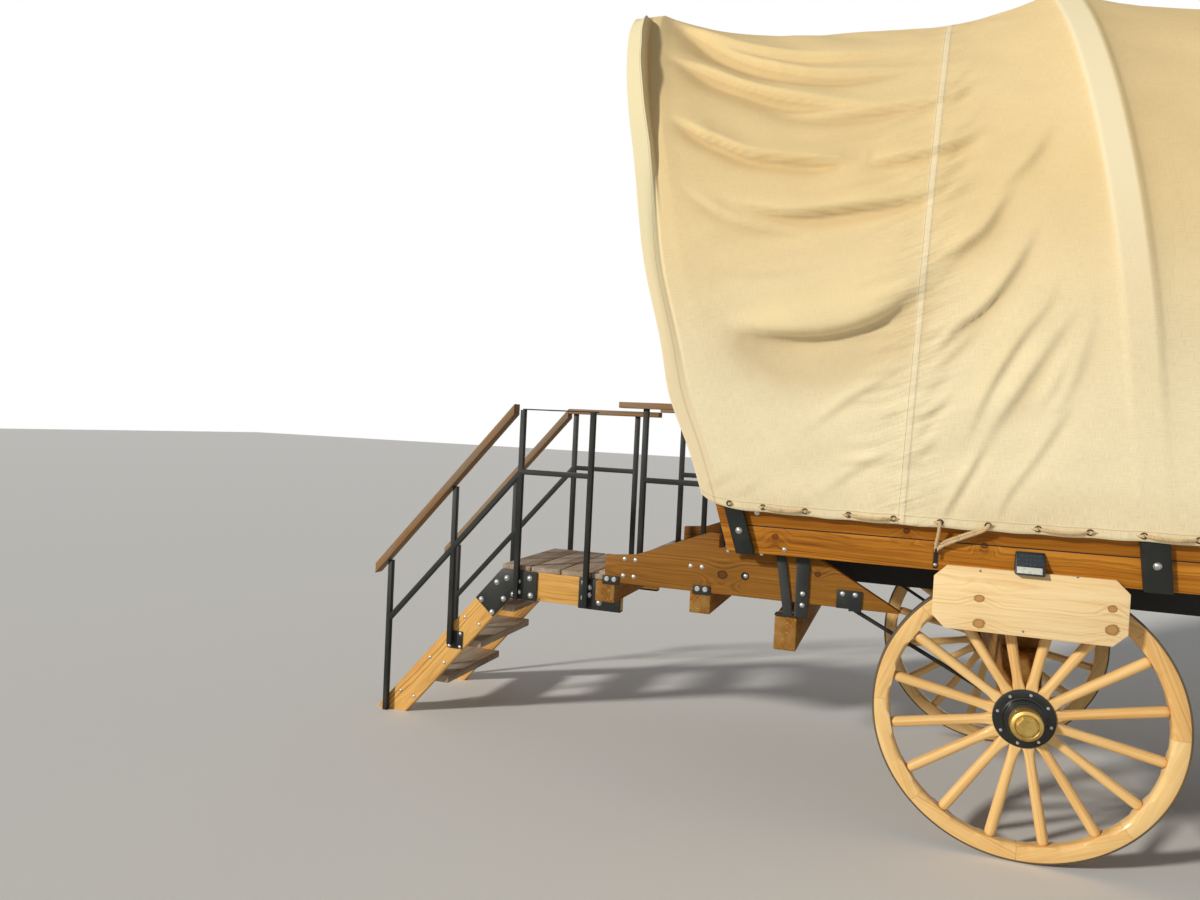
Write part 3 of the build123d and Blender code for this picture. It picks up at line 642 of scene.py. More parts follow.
def rings_tree():
    """Eyelets on points: a round ring."""
    work = Tree("eyelets", {"Ring Radius": "Float", "Wire Radius": "Float", "Finish": "Material"})
    give = work.entry.outputs
    path, wire = (work.node("GeometryNodeCurvePrimitiveCircle", {}, {"Resolution": n, "Radius": give[key]})
                  for n, key in ((20, "Ring Radius"), (8, "Wire Radius")))
    work.set_on_points(work.node("GeometryNodeCurveToMesh", {}, {0: path, "Profile Curve": wire}))
    return work


def place_on(work, name, rows, values, body):
    """Runs a tree on rows of (place, facing) and keeps the result as one plain mesh."""
    piece = new_piece(name, [row[0] for row in rows], [], None)
    point_values(piece, "facing", [row[1] for row in rows], "FLOAT_VECTOR")
    step = piece.modifiers.new("place", "NODES")
    step.node_group = work.tree
    for key, value in values.items():
        step[work.ids[key]] = value
    view = bpy.context.evaluated_depsgraph_get()
    mesh = bpy.data.meshes.new_from_object(piece.evaluated_get(view))
    piece.modifiers.clear()
    piece.data = mesh
    mesh.polygons.foreach_set("use_smooth", [True] * len(mesh.polygons))
    mesh.set_sharp_from_angle(angle=math.radians(40))
    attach(piece, body)


def bolt_heads(name, rows, sizes, finish, sides=6, dome=True, body="wagon"):
    """Bolt heads on rows of (place, facing); sizes are a head's radius and height and its washer's radius."""
    values = dict(zip(("Head Radius", "Head Height", "Washer Radius"), sizes))
    place_on(HEADS, name, rows, {**values, "Sides": sides, "Dome": dome, "Finish": finish}, body)


# The cover


def hoop_half(lean, top_z, out, shares):
    """Half of a bow's outer line in its own plane, at shares of its length from hem to crown."""
    turn = math.atan(math.tan(FLARE) * math.cos(lean))
    top = (top_z - BOX_FOOT) / math.cos(lean)
    foot_share = (BELLY - BOX_HALF) / math.tan(turn)
    arc_share = math.sin(turn) - (1 - math.cos(turn)) / math.tan(turn)
    crown_share = (1 - math.sin(HAUNCH)) / math.cos(HAUNCH)
    haunch_share = math.sin(HAUNCH) - (1 - math.cos(HAUNCH)) * crown_share
    haunch_r = (top - foot_share - BELLY * crown_share) / (arc_share + haunch_share)
    belly_s = foot_share + haunch_r * arc_share
    crown_r = (BELLY - haunch_r * (1 - math.cos(HAUNCH))) / math.cos(HAUNCH)
    crown_s = belly_s + (haunch_r - crown_r) * math.sin(HAUNCH)
    leg = (HEM - BOX_FOOT) / math.cos(lean) / math.cos(turn)
    side = np.linspace(-turn, HAUNCH, 90)
    crown = np.linspace(HAUNCH, math.pi / 2, 60)[1:]
    across = np.r_[BOX_HALF + leg * math.sin(turn) + out * math.cos(turn),
                   BELLY - haunch_r + (haunch_r + out) * np.cos(side), (crown_r + out) * np.cos(crown)]
    rise = np.r_[leg * math.cos(turn) - out * math.sin(turn),
                 belly_s + (haunch_r + out) * np.sin(side), crown_s + (crown_r + out) * np.sin(crown)]
    run = np.r_[0, np.cumsum(np.hypot(np.diff(across), np.diff(rise)))]
    return np.interp(shares * run[-1], run, across), np.interp(shares * run[-1], run, rise), run[-1]


def hoop_section(x, lean_deg, top_z, out, near_shares, far_shares):
    """The whole line of the cloth at one place, from the near hem over the crown to the far hem."""
    lean = math.radians(lean_deg)
    halves = []
    for side, shares in ((-1, near_shares), (1, far_shares)):
        across, rise, girth = hoop_half(lean, top_z, out, shares)
        halves.append(np.c_[ax(x) - rise * math.sin(lean), side * across, BOX_FOOT + rise * math.cos(lean)])
    return np.r_[halves[0], halves[1][::-1][1:]], girth


def smooth(value, low, high):
    """0 below low, 1 above high, smooth between."""
    share = np.clip((value - low) / (high - low), 0, 1)
    return share * share * (3 - 2 * share)


def along_line(x, s, points):
    """Signed distance of points of the cloth from a line on it, and the share of the line passed there."""
    runs = [math.hypot(b[0] - a[0], b[1] - a[1]) for a, b in zip(points, points[1:])]
    nearest = np.full(x.shape, 99.0)
    side = np.ones_like(x)
    share = np.zeros_like(x)
    weights = np.zeros_like(x)
    passed = 0.0
    for (x0, s0), (x1, s1), run in zip(points, points[1:], runs):
        dx = (x1 - x0) / run
        ds = (s1 - s0) / run
        reach = np.clip((x - x0) * dx + (s - s0) * ds, 0, run)
        gap_x = x - x0 - reach * dx
        gap_s = s - s0 - reach * ds
        gap = np.hypot(gap_x, gap_s)
        closer = gap < nearest
        nearest = np.where(closer, gap, nearest)
        side = np.where(closer, np.sign(dx * gap_s - ds * gap_x), side)
        weight = (gap + 0.006) ** -6.0
        share += weight * (passed + reach) / sum(runs)
        weights += weight
        passed += run
    return nearest * side, share / weights


def curve_through(points, count):
    """Evenly spaced points on a smooth curve through the given ones."""
    ends = [tuple(2 * a - b for a, b in zip(points[0], points[1]))]
    ends.append(tuple(2 * a - b for a, b in zip(points[-1], points[-2])))
    knots = np.array([ends[0], *points, ends[1]], float)
    dense = []
    for a, b, c, d in zip(knots, knots[1:], knots[2:], knots[3:]):
        for t in np.linspace(0, 1, 9)[:-1]:
            dense.append(0.5 * (2 * b + (c - a) * t + (2 * a - 5 * b + 4 * c - d) * t ** 2
                                + (3 * b - a - 3 * c + d) * t ** 3))
    dense.append(knots[-2])
    dense = np.array(dense)
    run = np.r_[0, np.cumsum(np.hypot(*np.diff(dense, axis=0).T))]
    place = np.linspace(0, run[-1], count)
    return list(zip(np.interp(place, run, dense[:, 0]), np.interp(place, run, dense[:, 1])))


# Folds of the front bay on the near side: line as (place along the wagon, measure up from the hem), height of
# the ridge, its width, and how sharply the two ends die out. The ridge lies left of the line's direction.
FRONT_FOLDS = [
    ([(-2.93, 2.69), (-2.62, 2.24), (-2.36, 2.0), (-2.14, 1.90), (-1.9, 1.87), (-1.55, 1.9)],
     0.026, 0.065, 0.5),
    ([(-2.84, 2.45), (-2.54, 2.19), (-2.36, 2.09), (-2.16, 2.03), (-1.91, 2.0), (-1.55, 2.03)],
     0.017, 0.055, 0.5),
    ([(-2.76, 2.11), (-2.68, 2.02), (-2.54, 1.92), (-2.36, 1.81), (-2.2, 1.74), (-2.0, 1.69), (-1.8, 1.66)],
     0.026, 0.050, 0.4),
    ([(-2.3, 1.70), (-2.12, 1.63), (-1.89, 1.62), (-1.6, 1.66), (-1.4, 1.74)], 0.017, 0.036, 0.5),
    ([(-2.66, 1.66), (-2.5, 1.54), (-2.42, 1.50), (-2.3, 1.44), (-2.09, 1.40), (-1.87, 1.38)],
     0.024, 0.032, 0.25),
    ([(-1.90, 1.375), (-1.76, 1.38), (-1.6, 1.41), (-1.45, 1.47)], 0.016, 0.028, 0.3),
    ([(-1.875, 1.365), (-1.862, 1.40), (-1.85, 1.45)], 0.003, 0.014, 0.5),
    ([(-2.45, 1.30), (-2.36, 1.24), (-2.25, 1.20), (-2.12, 1.17), (-1.95, 1.18), (-1.7, 1.21), (-1.5, 1.27)],
     0.020, 0.036, 0.4),
    ([(-2.60, 1.36), (-2.48, 1.25), (-2.36, 1.17), (-2.2, 1.11), (-2.0, 1.09)], 0.009, 0.030, 0.4),
    ([(-2.30, 1.92), (-2.1, 1.86), (-1.9, 1.85), (-1.68, 1.88)], 0.009, 0.022, 0.4),
    ([(-2.20, 1.52), (-2.0, 1.50), (-1.82, 1.51), (-1.66, 1.54)], 0.006, 0.020, 0.4),
    ([(-2.12, 1.27), (-1.95, 1.27), (-1.8, 1.30), (-1.66, 1.34)], 0.006, 0.020, 0.4),
    ([(-2.42, 0.80), (-2.25, 0.72), (-2.04, 0.70), (-1.9, 0.72), (-1.78, 0.77), (-1.66, 0.87), (-1.56, 0.98)],
     0.027, 0.105, 0.4),
    ([(-2.10, 0.29), (-2.0, 0.36), (-1.88, 0.46), (-1.78, 0.53), (-1.68, 0.59), (-1.6, 0.62)],
     0.005, 0.020, 0.5),
    ([(-1.65, 0.59), (-1.59, 0.64), (-1.53, 0.72), (-1.44, 0.80), (-1.35, 0.94), (-1.28, 1.11)],
     0.009, 0.040, 0.4),
    ([(-2.0, 0.05), (-1.91, 0.14), (-1.79, 0.23), (-1.66, 0.30)], 0.004, 0.026, 0.5),
    ([(-1.55, 0.0), (-1.49, 0.13), (-1.44, 0.24), (-1.40, 0.33)], 0.006, 0.018, 0.3),
    ([(-1.46, 0.20), (-1.38, 0.38), (-1.3, 0.53), (-1.22, 0.68), (-1.12, 0.86)], 0.008, 0.060, 0.5),
    ([(-1.37, 0.0), (-1.32, 0.14), (-1.25, 0.26), (-1.19, 0.38), (-1.13, 0.5)], 0.004, 0.024, 0.3),
    ([(-1.25, 0.30), (-1.18, 0.46), (-1.14, 0.58), (-1.11, 0.74), (-1.12, 0.95)], 0.005, 0.05, 0.6),
    ([(-2.43, 0.05), (-2.36, 0.11), (-2.27, 0.18)], 0.006, 0.018, 0.3),
    ([(-2.40, 0.03), (-2.29, 0.07), (-2.17, 0.13)], 0.005, 0.018, 0.3),
    ([(-2.52, 1.05), (-2.4, 0.96), (-2.2, 0.93), (-2.0, 0.96), (-1.85, 1.0)], 0.005, 0.06, 0.7),
    ([(-1.72, 0.34), (-1.6, 0.42), (-1.5, 0.52)], 0.004, 0.02, 0.5),
    ([(-1.66, 0.90), (-1.62, 0.93), (-1.57, 0.96), (-1.51, 1.02), (-1.45, 1.08), (-1.40, 1.18),
      (-1.35, 1.28)], 0.009, 0.050, 0.45),
    ([(-1.50, 0.24), (-1.42, 0.48), (-1.32, 0.69), (-1.25, 0.80), (-1.2, 0.95)], 0.007, 0.044, 0.5),
    ([(-1.28, 0.41), (-1.22, 0.50), (-1.19, 0.58), (-1.16, 0.67)], 0.003, 0.030, 0.5),
    ([(-1.44, 1.19), (-1.40, 1.24), (-1.36, 1.28), (-1.30, 1.36), (-1.24, 1.50)], 0.006, 0.050, 0.5),
    ([(-1.59, 1.40), (-1.54, 1.44), (-1.46, 1.49)], 0.003, 0.020, 0.5),
    ([(-1.62, 1.29), (-1.57, 1.32), (-1.48, 1.38)], 0.003, 0.020, 0.5),
    ([(-1.63, 1.17), (-1.57, 1.21), (-1.50, 1.24), (-1.45, 1.27)], 0.004, 0.022, 0.5),
    ([(-1.62, 0.97), (-1.59, 0.98), (-1.55, 1.00)], 0.003, 0.018, 0.5),
    ([(-1.66, 0.53), (-1.60, 0.57), (-1.54, 0.63), (-1.48, 0.70), (-1.44, 0.75)], 0.004, 0.024, 0.5),
    ([(-1.66, 0.46), (-1.61, 0.50), (-1.53, 0.56)], 0.003, 0.018, 0.5),
    ([(-1.80, 1.27), (-1.72, 1.28), (-1.63, 1.31)], 0.003, 0.020, 0.5),
]


def seam_pulls(seed, foot_x):
    """Short fine creases that pull upwards from both sides of a sewn seam."""
    random = np.random.default_rng(seed)
    lines = []
    for s in np.arange(0.22, 2.3, 0.055):
        s += random.uniform(-0.02, 0.02)
        x = foot_x + SEAM_LEAN * s
        for side in (1, -1):
            if random.uniform() < 0.25:
                continue
            length = random.uniform(0.07, 0.22) * (1.0 if side > 0 else 1.3)
            lean = math.radians(random.uniform(32, 48) if side > 0 else random.uniform(10, 26))
            lift = 0.4 + 0.6 * min(1, s / 1.2) if side < 0 else 1.0
            reach, climb = side * length * math.cos(lean), side * length * math.sin(lean) * lift
            spots = [(x + side * 0.012 + reach * t, s + climb * t) for t in (0, 0.35, 0.7, 1.0)]
            if side < 0:
                spots = spots[::-1]
            lines.append((spots, random.uniform(0.0018, 0.0042), random.uniform(0.014, 0.022), 0.45))
    return lines


def spare_folds(seed, x_from, x_to, strength):
    """Folds for a bay: long drapes between the bows high up, and slanting pulls from the lacing."""
    random = np.random.default_rng(seed)
    lines = []
    middle = (x_from + x_to) / 2
    half = (x_to - x_from) / 2
    for s in (2.35, 2.0, 1.62, 1.2):
        s += random.uniform(-0.08, 0.08)
        sink = random.uniform(0.08, 0.2)
        tip = random.uniform(-0.06, 0.06)
        spots = [(middle + half * t, s + sink * t * t + tip * t) for t in np.linspace(-0.95, 0.95, 7)]
        lines.append((spots, strength * random.uniform(0.007, 0.014), random.uniform(0.035, 0.06), 0.6))
    for _ in range(4):
        lean = random.choice([-1, 1])
        start = random.uniform(x_from + 0.1, x_to - 0.1)
        rise = random.uniform(0.35, 0.85)
        end = np.clip(start + lean * rise * random.uniform(0.3, 0.6), x_from + 0.04, x_to - 0.04)
        spots = [(start + (end - start) * t, 0.02 + rise * t ** 1.1) for t in np.linspace(0, 1, 5)]
        lines.append((spots, strength * random.uniform(0.006, 0.013), random.uniform(0.02, 0.035), 0.35))
    return lines


def mirrored_folds(lines, about, seed):
    """The same folds seen from the other end, moved about a little."""
    random = np.random.default_rng(seed)
    turned = []
    for points, height, width, ends in lines:
        dx, ds = random.uniform(-0.04, 0.04), random.uniform(-0.07, 0.07) * min(1, points[0][1])
        spots = [(2 * about - x + dx, max(0.0, s + ds)) for x, s in points][::-1]
        turned.append((spots, height * random.uniform(0.55, 1.0), width, ends))
    return turned


def fold_height(x, s, lines):
    """How far the folds push the cloth outwards at each point."""
    total = np.zeros_like(x)
    for points, height, width, ends in lines:
        curve = curve_through(points, 16)
        low = np.min(curve, axis=0) - 3.6 * width
        high = np.max(curve, axis=0) + 3.6 * width
        near = (x > low[0]) & (x < high[0]) & (s > low[1]) & (s < high[1])
        gap, share = along_line(x[near], s[near], curve)
        fade = np.minimum(smooth(share, 0, ends), smooth(1 - share, 0, ends))
        turn = np.tanh(gap / max(0.20 * width, 0.008))
        total[near] += 1.3 * height * fade * turn * np.exp(-(np.abs(gap) / (1.5 * width)) ** 1.5)
    return total


# The pleat that stands out over an end bow: distance in from the cloth's edge, how far the cloth there moves
# along the wagon, and how far it moves outwards. Behind its crest it falls back to the bow in a steep wall.
PLEAT = [
    (0.000, 0.036, 0.030), (0.012, 0.041, 0.041), (0.026, 0.048, 0.055), (0.040, 0.055, 0.070),
    (0.050, 0.057, 0.082), (0.057, 0.053, 0.084), (0.066, 0.048, 0.064), (0.076, 0.041, 0.036),
    (0.086, 0.034, 0.010), (0.094, 0.028, -0.001), (0.105, 0.024, 0.001), (0.125, 0.018, 0.002),
    (0.165, 0.009, 0.001), (0.215, 0.000, 0.000),
]


def pleat(edge, s, seed):
    """Moves along the wagon and outwards that make the cloth stand out over an end bow, high up on a side."""
    pulled = smooth(s, 0.9, 1.5) * (1 - 0.3 * smooth(s, 2.3, 2.6))
    raised = smooth(s, 1.12, 1.85) * smooth(-s, -2.52, -2.18)
    wave = 1 + 0.07 * np.sin(10.5 * s + seed) + 0.05 * np.sin(27 * s + 2 * seed)
    places = [row[0] for row in PLEAT]
    along = np.interp(edge, places, [row[1] for row in PLEAT]) * pulled
    outward = np.interp(edge, places, [row[2] for row in PLEAT]) * raised
    # Low down the lip swells forwards before its corner
    along = along - 0.026 * np.exp(-((s - 0.46) / 0.17) ** 2) * np.exp(-(edge / 0.09) ** 2)
    return along, outward * wave


def drape(t):
    """Share of the full sag, by the share of a bay passed: steep beside the bows and level in the middle."""
    return 1 - np.abs(2 * t - 1) ** 3.2


# The sewn seams: foot of the first one, how far each leans on its way up, and the width of cloth between them
SEAM_FOOT_X = -1.68
SEAM_LEAN = 0.033
CLOTH_WIDTH = 1.50
# The gathers that the lacing makes in the foot of the cloth
EYELET_FROM = -2.34
EYELET_PITCH = 0.161
# Rows of the sheet up each side, and its columns over each bow and along each bay in turn
NEAR_ROWS = 190
FAR_ROWS = 110
LONG_STEPS = [40, 136, 8, 34, 6, 28, 6, 36, 22]
# How columns crowd together at the ends and beside the bows: shares of the columns, shares of the way
EDGE_SPACING = ([0, 0.18, 0.64, 1], [0, 0.16, 0.58, 1])
BAY_SPACING = ([0, 0.18, 0.82, 1], [0, 0.055, 0.945, 1])
CLOTH_OUT = BOW_T + 0.004
# Rows of the sheet up from each hem that the lacing is laid on
FOOT_ROWS = 14


def cover_grid():
    """The sheet laid on the hoops: its points, half its girth, each point's measure up from its own hem,
    which points are on the far side, and each column's bay and the share of it passed."""
    near_shares = np.interp(np.linspace(0, 1, NEAR_ROWS + 1), [0, 0.9, 1], [0, 0.84, 1])
    far_shares = np.linspace(0, 1, FAR_ROWS + 1)
    stations = []
    for k, (x, lean, top_z, width) in enumerate(BOWS):
        front = width / 2 + (LIP if k == 0 else 0)
        rear = width / 2 + (LIP if k == len(BOWS) - 1 else 0)
        stations += [(x - front, lean, top_z), (x + rear, lean, top_z)]
    grid, half_girth, bay, passed = [], [], [], []
    for k, steps in enumerate(LONG_STEPS):
        final = k == len(LONG_STEPS) - 1
        places = np.linspace(0, 1, steps + 1)
        if k == 0:
            places = np.interp(places, *EDGE_SPACING)
        if final:
            places = 1 - np.interp(1 - places, *EDGE_SPACING)
        if k in (3, 5, 7):
            places = np.interp(places, *BAY_SPACING)
        for t in places[: None if final else -1]:
            row = [a * (1 - t) + b * t for a, b in zip(stations[k], stations[k + 1])]
            row[2] -= SAG * drape(t) if k % 2 else 0
            points, girth = hoop_section(*row, CLOTH_OUT, near_shares, far_shares)
            grid.append(points)
            half_girth.append(girth)
            bay.append(k)
            passed.append(t)
    half_girth, bay, passed = (np.array(column)[:, None] for column in (half_girth, bay, passed))
    far = np.r_[np.zeros(NEAR_ROWS + 1), np.ones(FAR_ROWS)][None, :] > 0.5
    s = half_girth * np.r_[near_shares, far_shares[::-1][1:]][None, :]
    return np.array(grid), half_girth, s, far, bay, passed


def cloth_directions(grid, far):
    """The way out of the sheet at each point, and the way up along it from the hem."""
    step_s = np.gradient(grid, axis=1)
    normal = np.cross(np.gradient(grid, axis=0), step_s)
    normal /= np.linalg.norm(normal, axis=2)[:, :, None]
    if normal[20, NEAR_ROWS, 2] < 0:
        normal = -normal
    up = step_s * np.where(far, -1, 1)[:, :, None]
    up /= np.linalg.norm(up, axis=2)[:, :, None]
    return normal, up


def drawn_tight(rise, bay, passed):
    """How far the sides draw in between the bows, steeply beside each of them and most in the middle bays."""
    belly = 4 * passed * (1 - passed) * (bay % 2 == 1)
    depth = 0.034 + 0.020 * ((bay == 3) | (bay == 5))
    depth = 0.004 + depth * smooth(rise, 0.05, 0.40) * smooth(-rise, -0.95, -0.6)
    inner = np.where(bay == 1, passed, np.where(bay == len(LONG_STEPS) - 2, 1 - passed, 1.1))
    return belly ** (1.1 - 0.6 * inner) * depth


def both_pleats(edges, s, far):
    """Moves along the wagon and outwards of the pleats at both ends, and of the rolled lips below them."""
    shift = np.zeros_like(s)
    push = np.zeros_like(s)
    for edge, seed, share, way in zip(edges, (0.7, 2.9), (1.0, 0.85), (1, -1)):
        along, outward = pleat(edge, s, seed + far * 1.3)
        shift += share * way * along
        push += share * outward
        plain = (1 - smooth(s, 1.22, 1.6)) * smooth(s, 0.3, 0.9)
        push += plain * 0.005 * np.exp(-((edge - 0.030) / 0.022) ** 2)
        push -= plain * 0.005 * np.exp(-((edge - 0.066) / 0.007) ** 2)
    return shift, push


def cover_folds(x, s, far):
    """The height of every fold of the sheet, bay by bay and side by side."""
    middle = ax(BOWS[2][0])
    bays = [(ax(BOWS[k][0]) + 0.1, ax(BOWS[k + 1][0]) - 0.1) for k in (1, 2)]
    near_lines = FRONT_FOLDS + seam_pulls(9, SEAM_FOOT_X)
    near_lines += spare_folds(5, *bays[0], 0.55)
    near_lines += spare_folds(6, *bays[1], 0.8)
    near_lines += mirrored_folds(FRONT_FOLDS, middle, 11)
    near_lines += seam_pulls(10, SEAM_FOOT_X + 2 * CLOTH_WIDTH)
    far_lines = mirrored_folds(mirrored_folds(FRONT_FOLDS, middle, 12), middle, 13)
    far_lines += spare_folds(7, *bays[0], 0.8)
    far_lines += spare_folds(8, *bays[1], 0.8)
    far_lines += mirrored_folds(FRONT_FOLDS, middle, 14)
    return np.where(far, fold_height(x, s, far_lines), fold_height(x, s, near_lines))


def unevenness(x, girth_place):
    """Small waves all over the sheet, in patches."""
    random = np.random.default_rng(4)
    total = np.zeros_like(x)
    for _ in range(26):
        angle = random.normal(0, 0.5)
        wave = random.uniform(0.09, 0.4)
        phase = random.uniform(0, 6.3)
        line = np.sin(angle) * x + np.cos(angle) * girth_place
        wander = 0.05 * np.sin(3.1 * x + phase) + 0.04 * np.sin(2.3 * girth_place + 2 * phase)
        patch = smooth(np.sin(1.7 * x + 2.2 * girth_place + phase * 3), -0.2, 0.9)
        total += 0.0042 * wave * patch * np.sin((line + wander) * 2 * math.pi / wave + phase)
    return total


def seam_gap(x, s):
    """Signed distance from the nearest sewn seam; the cloth is made of widths that run from hem to hem."""
    place = (x - SEAM_FOOT_X - SEAM_LEAN * s) / CLOTH_WIDTH
    return (place - np.round(place)) * CLOTH_WIDTH


def turned_edges(place, normal):
    """The sheet with three rows turned in at each end and two turned under at each hem."""
    ends = []
    for edge, step in ((0, 1), (-1, -1)):
        tangent = place[edge] - place[edge + 3 * step]
        tangent /= np.linalg.norm(tangent, axis=1)[:, None]
        ends.append([place[edge] + tangent * past - normal[edge] * under
                     for past, under in ((0.004, 0.004), (0.003, 0.014), (-0.012, 0.018))])
    whole = np.concatenate([np.array(ends[0][::-1]), place, np.array(ends[1])])
    outwards = np.pad(normal, ((3, 3), (0, 0), (0, 0)), "edge")
    hems = []
    for edge, inside in ((0, 4), (-1, -5)):
        up = whole[:, inside] - whole[:, edge]
        up /= np.linalg.norm(up, axis=1)[:, None]
        hems.append([whole[:, edge] - outwards[:, edge] * under + up * back
                     for under, back in ((0.0025, -0.001), (0.0035, 0.022))])
    return np.concatenate([np.stack(hems[0][::-1], 1), whole, np.stack(hems[1], 1)], 1)


def with_turnings(values):
    """The same values for the rows that turned_edges adds."""
    return np.pad(values, ((3, 3), (2, 2)) + ((0, 0),) * (values.ndim - 2), "edge")


def canvas_cover():
    """The cover as one sheet laced to the box, drawn tight over five bows and sagging between them.

    Gives the foot of the finished sheet on each side: places, measures up from the hem, and ways out.
    """
    grid, half_girth, s, far, bay, passed = cover_grid()
    normal, up = cloth_directions(grid, far)
    x = grid[:, :, 0]
    girth_place = np.where(far, 2 * half_girth - s, s)
    edges = [np.linalg.norm(grid - end[None], axis=2) for end in (grid[0], grid[-1])]
    shift_x, push = both_pleats(edges, s, far)
    push = push + 0.003 - drawn_tight(s / half_girth, bay, passed)
    # The bows stand in the way of a fold that would sink the cloth
    over_bow = np.where(bay % 2 == 1, np.minimum(1, 8 * passed * (1 - passed) + 0.12), 0.12)
    folds = cover_folds(x, s, far)
    push = push + folds * np.where(folds < 0, over_bow, np.maximum(over_bow, 0.35))
    push = push + over_bow * unevenness(x, girth_place)
    # The cloth is puckered and double at its seams
    seam = seam_gap(x, s)
    pucker = np.sin(girth_place * 2 * math.pi / 0.085 + 2 * np.sin(7 * girth_place))
    push = push + 0.0016 * np.exp(-(seam / 0.05) ** 2) * pucker
    push = push + 0.0015 * np.exp(-(seam / 0.02) ** 2)
    # The lacing gathers the foot of the cloth at each eyelet
    hem = np.exp(-s / 0.07)
    comb = np.cos((x - EYELET_FROM) * 2 * math.pi / EYELET_PITCH)
    push = push - hem * 0.0010 * comb
    push = push + 0.0012 * smooth(-s, -0.036, -0.030)
    place = grid + normal * push[:, :, None]
    place[:, :, 0] += shift_x
    # Between bows the foot of the cloth hangs lower, and its corners are cut round
    belly = 4 * passed * (1 - passed) * (bay % 2 == 1)
    slide = hem * comb * 0.0012 - 0.008 * belly * np.exp(-s / 0.15)
    for edge in edges:
        slide = slide + 0.058 * np.exp(-edge / 0.045) * np.exp(-s / 0.10)
    place = place + up * slide[:, :, None]
    whole = turned_edges(place, normal)
    index = np.arange(whole.shape[0] * whole.shape[1]).reshape(whole.shape[:2])
    faces = np.stack([index[:-1, :-1], index[1:, :-1], index[1:, 1:], index[:-1, 1:]], -1).reshape(-1, 4)
    corner = whole.reshape(-1, 3)
    a, b, c = (corner[faces[:, k]] for k in (0, 1, 2))
    outward = with_turnings(normal).reshape(-1, 3)[faces[:, 0]]
    if (np.cross(b - a, c - a) * outward).sum() < 0:
        faces = faces[:, ::-1]
    piece = new_piece("canvas_sheet", corner, faces, CANVAS, smooth=True)
    # on_bow and fold also set painted highlights and painted shade in the cloth's colour
    on_bow = np.isin(bay, (2, 4, 6)) * np.ones_like(s)
    fields = {"from_hem": s, "from_end": np.minimum(*edges), "from_seam": seam, "fold": folds,
              "on_bow": on_bow, "by_seam": np.clip(1 - np.abs(seam) / 0.20, 0, 1)}
    for name, values in fields.items():
        point_values(piece, name, with_turnings(values))
    layer = piece.data.uv_layers.new(name="cut")
    measure = np.stack([with_turnings(x), with_turnings(girth_place)], -1).reshape(-1, 2)
    loops = np.empty(len(piece.data.loops), np.int32)
    piece.data.loops.foreach_get("vertex_index", loops)
    layer.data.foreach_set("uv", measure[loops].astype(np.float32).ravel())
    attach(piece, "wagon")
    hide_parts("canvas_cover")
    near_foot = [values[:, :FOOT_ROWS] for values in (place, s, normal)]
    far_foot = [values[:, ::-1][:, :FOOT_ROWS] for values in (place, s, normal)]
    return {NEAR: near_foot, FAR: far_foot}


# Wheels, made once about Y with the outer face of the rim at y = 0 and facing -Y


def on_wheel(r, a, y):
    """A point at a distance from the wheel's middle and an angle from its top."""
    return r * math.sin(a), y, r * math.cos(a)


def whole_turn(segments):
    """Even angles round a circle."""
    return [2 * math.pi * k / segments for k in range(segments)]


def band(low, high, count):
    """Faces between two rings of points that begin at low and high."""
    return [(low + k, high + k, high + (k + 1) % count, low + (k + 1) % count) for k in range(count)]


def bar_sides(start, rings, count):
    """Faces along a bar made of rings of points that follow each other."""
    return [(low + k, low + (k + 1) % count, low + count + (k + 1) % count, low + count + k)
            for low in range(start, start + (rings - 1) * count, count) for k in range(count)]


def turned(outline, segments):
    """A closed outline of (radius, y) turned about Y."""
    verts = [on_wheel(r, a, y) for r, y in outline for a in whole_turn(segments)]
    faces = []
    for k in range(len(outline)):
        faces += band(k * segments, (k + 1) % len(outline) * segments, segments)
    return verts, faces


# Each wheel: the end of its names, its side and the place of its axle
WHEELS = {
    "front_near": (NEAR, FRONT_AXLE_X),
    "front_far": (FAR, FRONT_AXLE_X),
    "rear_near": (NEAR, FRONT_AXLE_X + WHEELBASE),
    "rear_far": (FAR, FRONT_AXLE_X + WHEELBASE),
}


def place_wheel(verts, side, x):
    """Moves wheel points to a wheel's place; the far wheels are turned half round, not mirrored."""
    verts = np.asarray(verts, float)
    if side == FAR:
        verts = verts * (-1, -1, 1)
    return verts + (x, side * RIM_FACE_Y, WHEEL_R)


def wheel_piece(name, node, place, form, material, angle):
    """One finished piece of a wheel; form is its points and faces, and for wood also its grain and tint."""
    verts, faces, *growth = form
    piece = new_piece(f"{name}_{place}", place_wheel(verts, *WHEELS[place]), faces, material, smooth=True)
    face_out(piece, angle)
    if growth:
        point_values(piece, "grain", growth[0], "FLOAT_VECTOR")
        point_values(piece, "tint", growth[1])
    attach(piece, "wheel_" + place)
    if node:
        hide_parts(f"{node}_{place}")
    slot_of(f"{node or 'hub'}_{place}")


def tyre_form():
    """The iron tyre: slightly crowned tread and rounded corners."""
    side = 0.0025
    out = WHEEL_R
    inn = WHEEL_R - TYRE_T
    outline = [(inn, side), (out - 0.0032, side), (out - 0.0010, side + 0.0012), (out - 0.0002, side + 0.005),
               (out, RIM_W / 2), (out - 0.0002, RIM_W - side - 0.005), (out - 0.0010, RIM_W - side - 0.0012),
               (out - 0.0032, RIM_W - side), (inn, RIM_W - side)]
    return turned(outline, 128)


